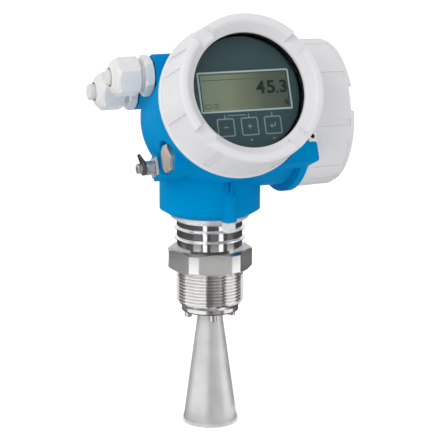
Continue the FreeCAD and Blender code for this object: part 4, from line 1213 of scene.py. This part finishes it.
# %% Print on the face
KEYS = (-16.4, 0.1, 16.4)
printed("panel_frame_print", [mark("panel_line", 0, 1.3, 64, 27.2, 1.2, 1.05)], print_pale, "display_slate")
key_marks = []
for i, key_x in enumerate(KEYS):
    key_marks.append(mark(f"key_field_{i}", key_x, -22.4, 12.1, 12.2, 1.4, 0.85))
    key_marks.append(mark(f"key_lead_{i}", key_x, -15.2, 0.75, 2.6))
key_marks.append(mark("key_pair", (KEYS[0] + KEYS[1]) / 2, -14.6, 12.6, 0.6))
printed("key_fields_print", key_marks, print_dim, "display_slate")
signs = [mark("minus_sign", KEYS[0], -22.3, 3.0, 0.75),
         mark("plus_across", KEYS[1], -22.3, 3.2, 0.75), mark("plus_upright", KEYS[1], -22.3, 0.75, 3.2),
         mark("enter_across", KEYS[2] + 0.1, -22.9, 3.4, 0.7),
         mark("enter_upright", KEYS[2] + 1.5, -21.7, 0.7, 2.4),
         mark("enter_point_up", KEYS[2] - 1.2, -22.3, 1.7, 0.6, turn=45),
         mark("enter_point_down", KEYS[2] - 1.2, -23.5, 1.7, 0.6, turn=-45),
         mark("dot_sign", KEYS[1], -31.4, 1.5, 1.5, 0.6), mark("arrow_across", KEYS[2], -31.2, 2.8, 0.5),
         mark("arrow_point_up", KEYS[2] - 1.0, -30.8, 1.3, 0.5, turn=45),
         mark("arrow_point_down", KEYS[2] - 1.0, -31.6, 1.3, 0.5, turn=-45)]
printed("key_signs_print", signs, print_dim, "display_slate")

# %% [markdown]
# On the panel the crystal shows a reading, a percent sign, a header line and two outlined state
# fields. Figures have curved strokes, so they start as text, which is made a mesh and scaled to fill
# its box. The rest are plain marks, fainter than the figures, and one of them is a painted shadow: a
# thin dark band along the panel's top edge, where the frame's shadow falls.

# %% Crystal on the panel
STROKE = 0.030


def reading(name, words, x, y, width, height):
    """Figures on the panel, scaled to fill a box whose lower left corner is given."""
    bpy.ops.object.select_all(action="DESELECT")
    bpy.ops.object.text_add()
    text = bpy.context.object
    text.data.body = words
    text.data.extrude = INK * MM / 2
    text.data.offset = STROKE
    text.data.resolution_u = 6
    bpy.ops.object.convert(target="MESH")
    figure = bpy.context.object
    figure.name = name
    bpy.ops.object.mode_set(mode="EDIT")
    bpy.ops.mesh.select_all(action="SELECT")
    bpy.ops.mesh.remove_doubles(threshold=1e-5)
    bpy.ops.object.mode_set(mode="OBJECT")
    low = Vector(figure.bound_box[0])
    high = Vector(figure.bound_box[6])
    wide = width * MM / (high.x - low.x)
    tall = height * MM / (high.y - low.y)
    fit = inside(UPRIGHT, x, y, PANEL + INK / 2) @ Matrix.Diagonal((wide, tall, 1, 1))
    return moved(figure, fit @ Matrix.Translation((-low.x, -low.y, 0)))


figures = [reading(f"level_figure_{figure}", figure, x, -1.1, width, 8.8)
           for figure, x, width in (("4", 8.0, 6.4), ("5", 15.6, 5.8), ("3", 24.7, 5.1))]
printed("reading_figures", figures + [mark("level_point", 22.7, -0.4, 1.4, 1.5, 0.2, base=PANEL),
                                      reading("percent_figure", "%", 26.8, -9.2, 3.0, 3.4)],
        crystal_dark, "display_panel")
faint_marks_and_shadow = [mark("header_line", 0.2, 9.4, 59.0, 0.55, base=PANEL),
         # Painted shadow: a thin dark band along the panel's top edge, where the frame's shadow falls.
         mark("painted_panel_edge_shadow", 0, 13.0, 59.4, 0.5, base=PANEL),
         mark("state_field_left", -26.5, -7.9, 5.0, 2.9, 0.8, 0.5, base=PANEL),
         mark("state_field_right", -20.9, -7.8, 3.4, 3.1, 0.6, 0.45, base=PANEL),
         mark("state_bar", -20.9, -7.8, 0.5, 1.9, base=PANEL)]
printed("panel_faint_marks_and_painted_shadow", faint_marks_and_shadow, crystal_faint_and_painted_shadow, "display_panel")
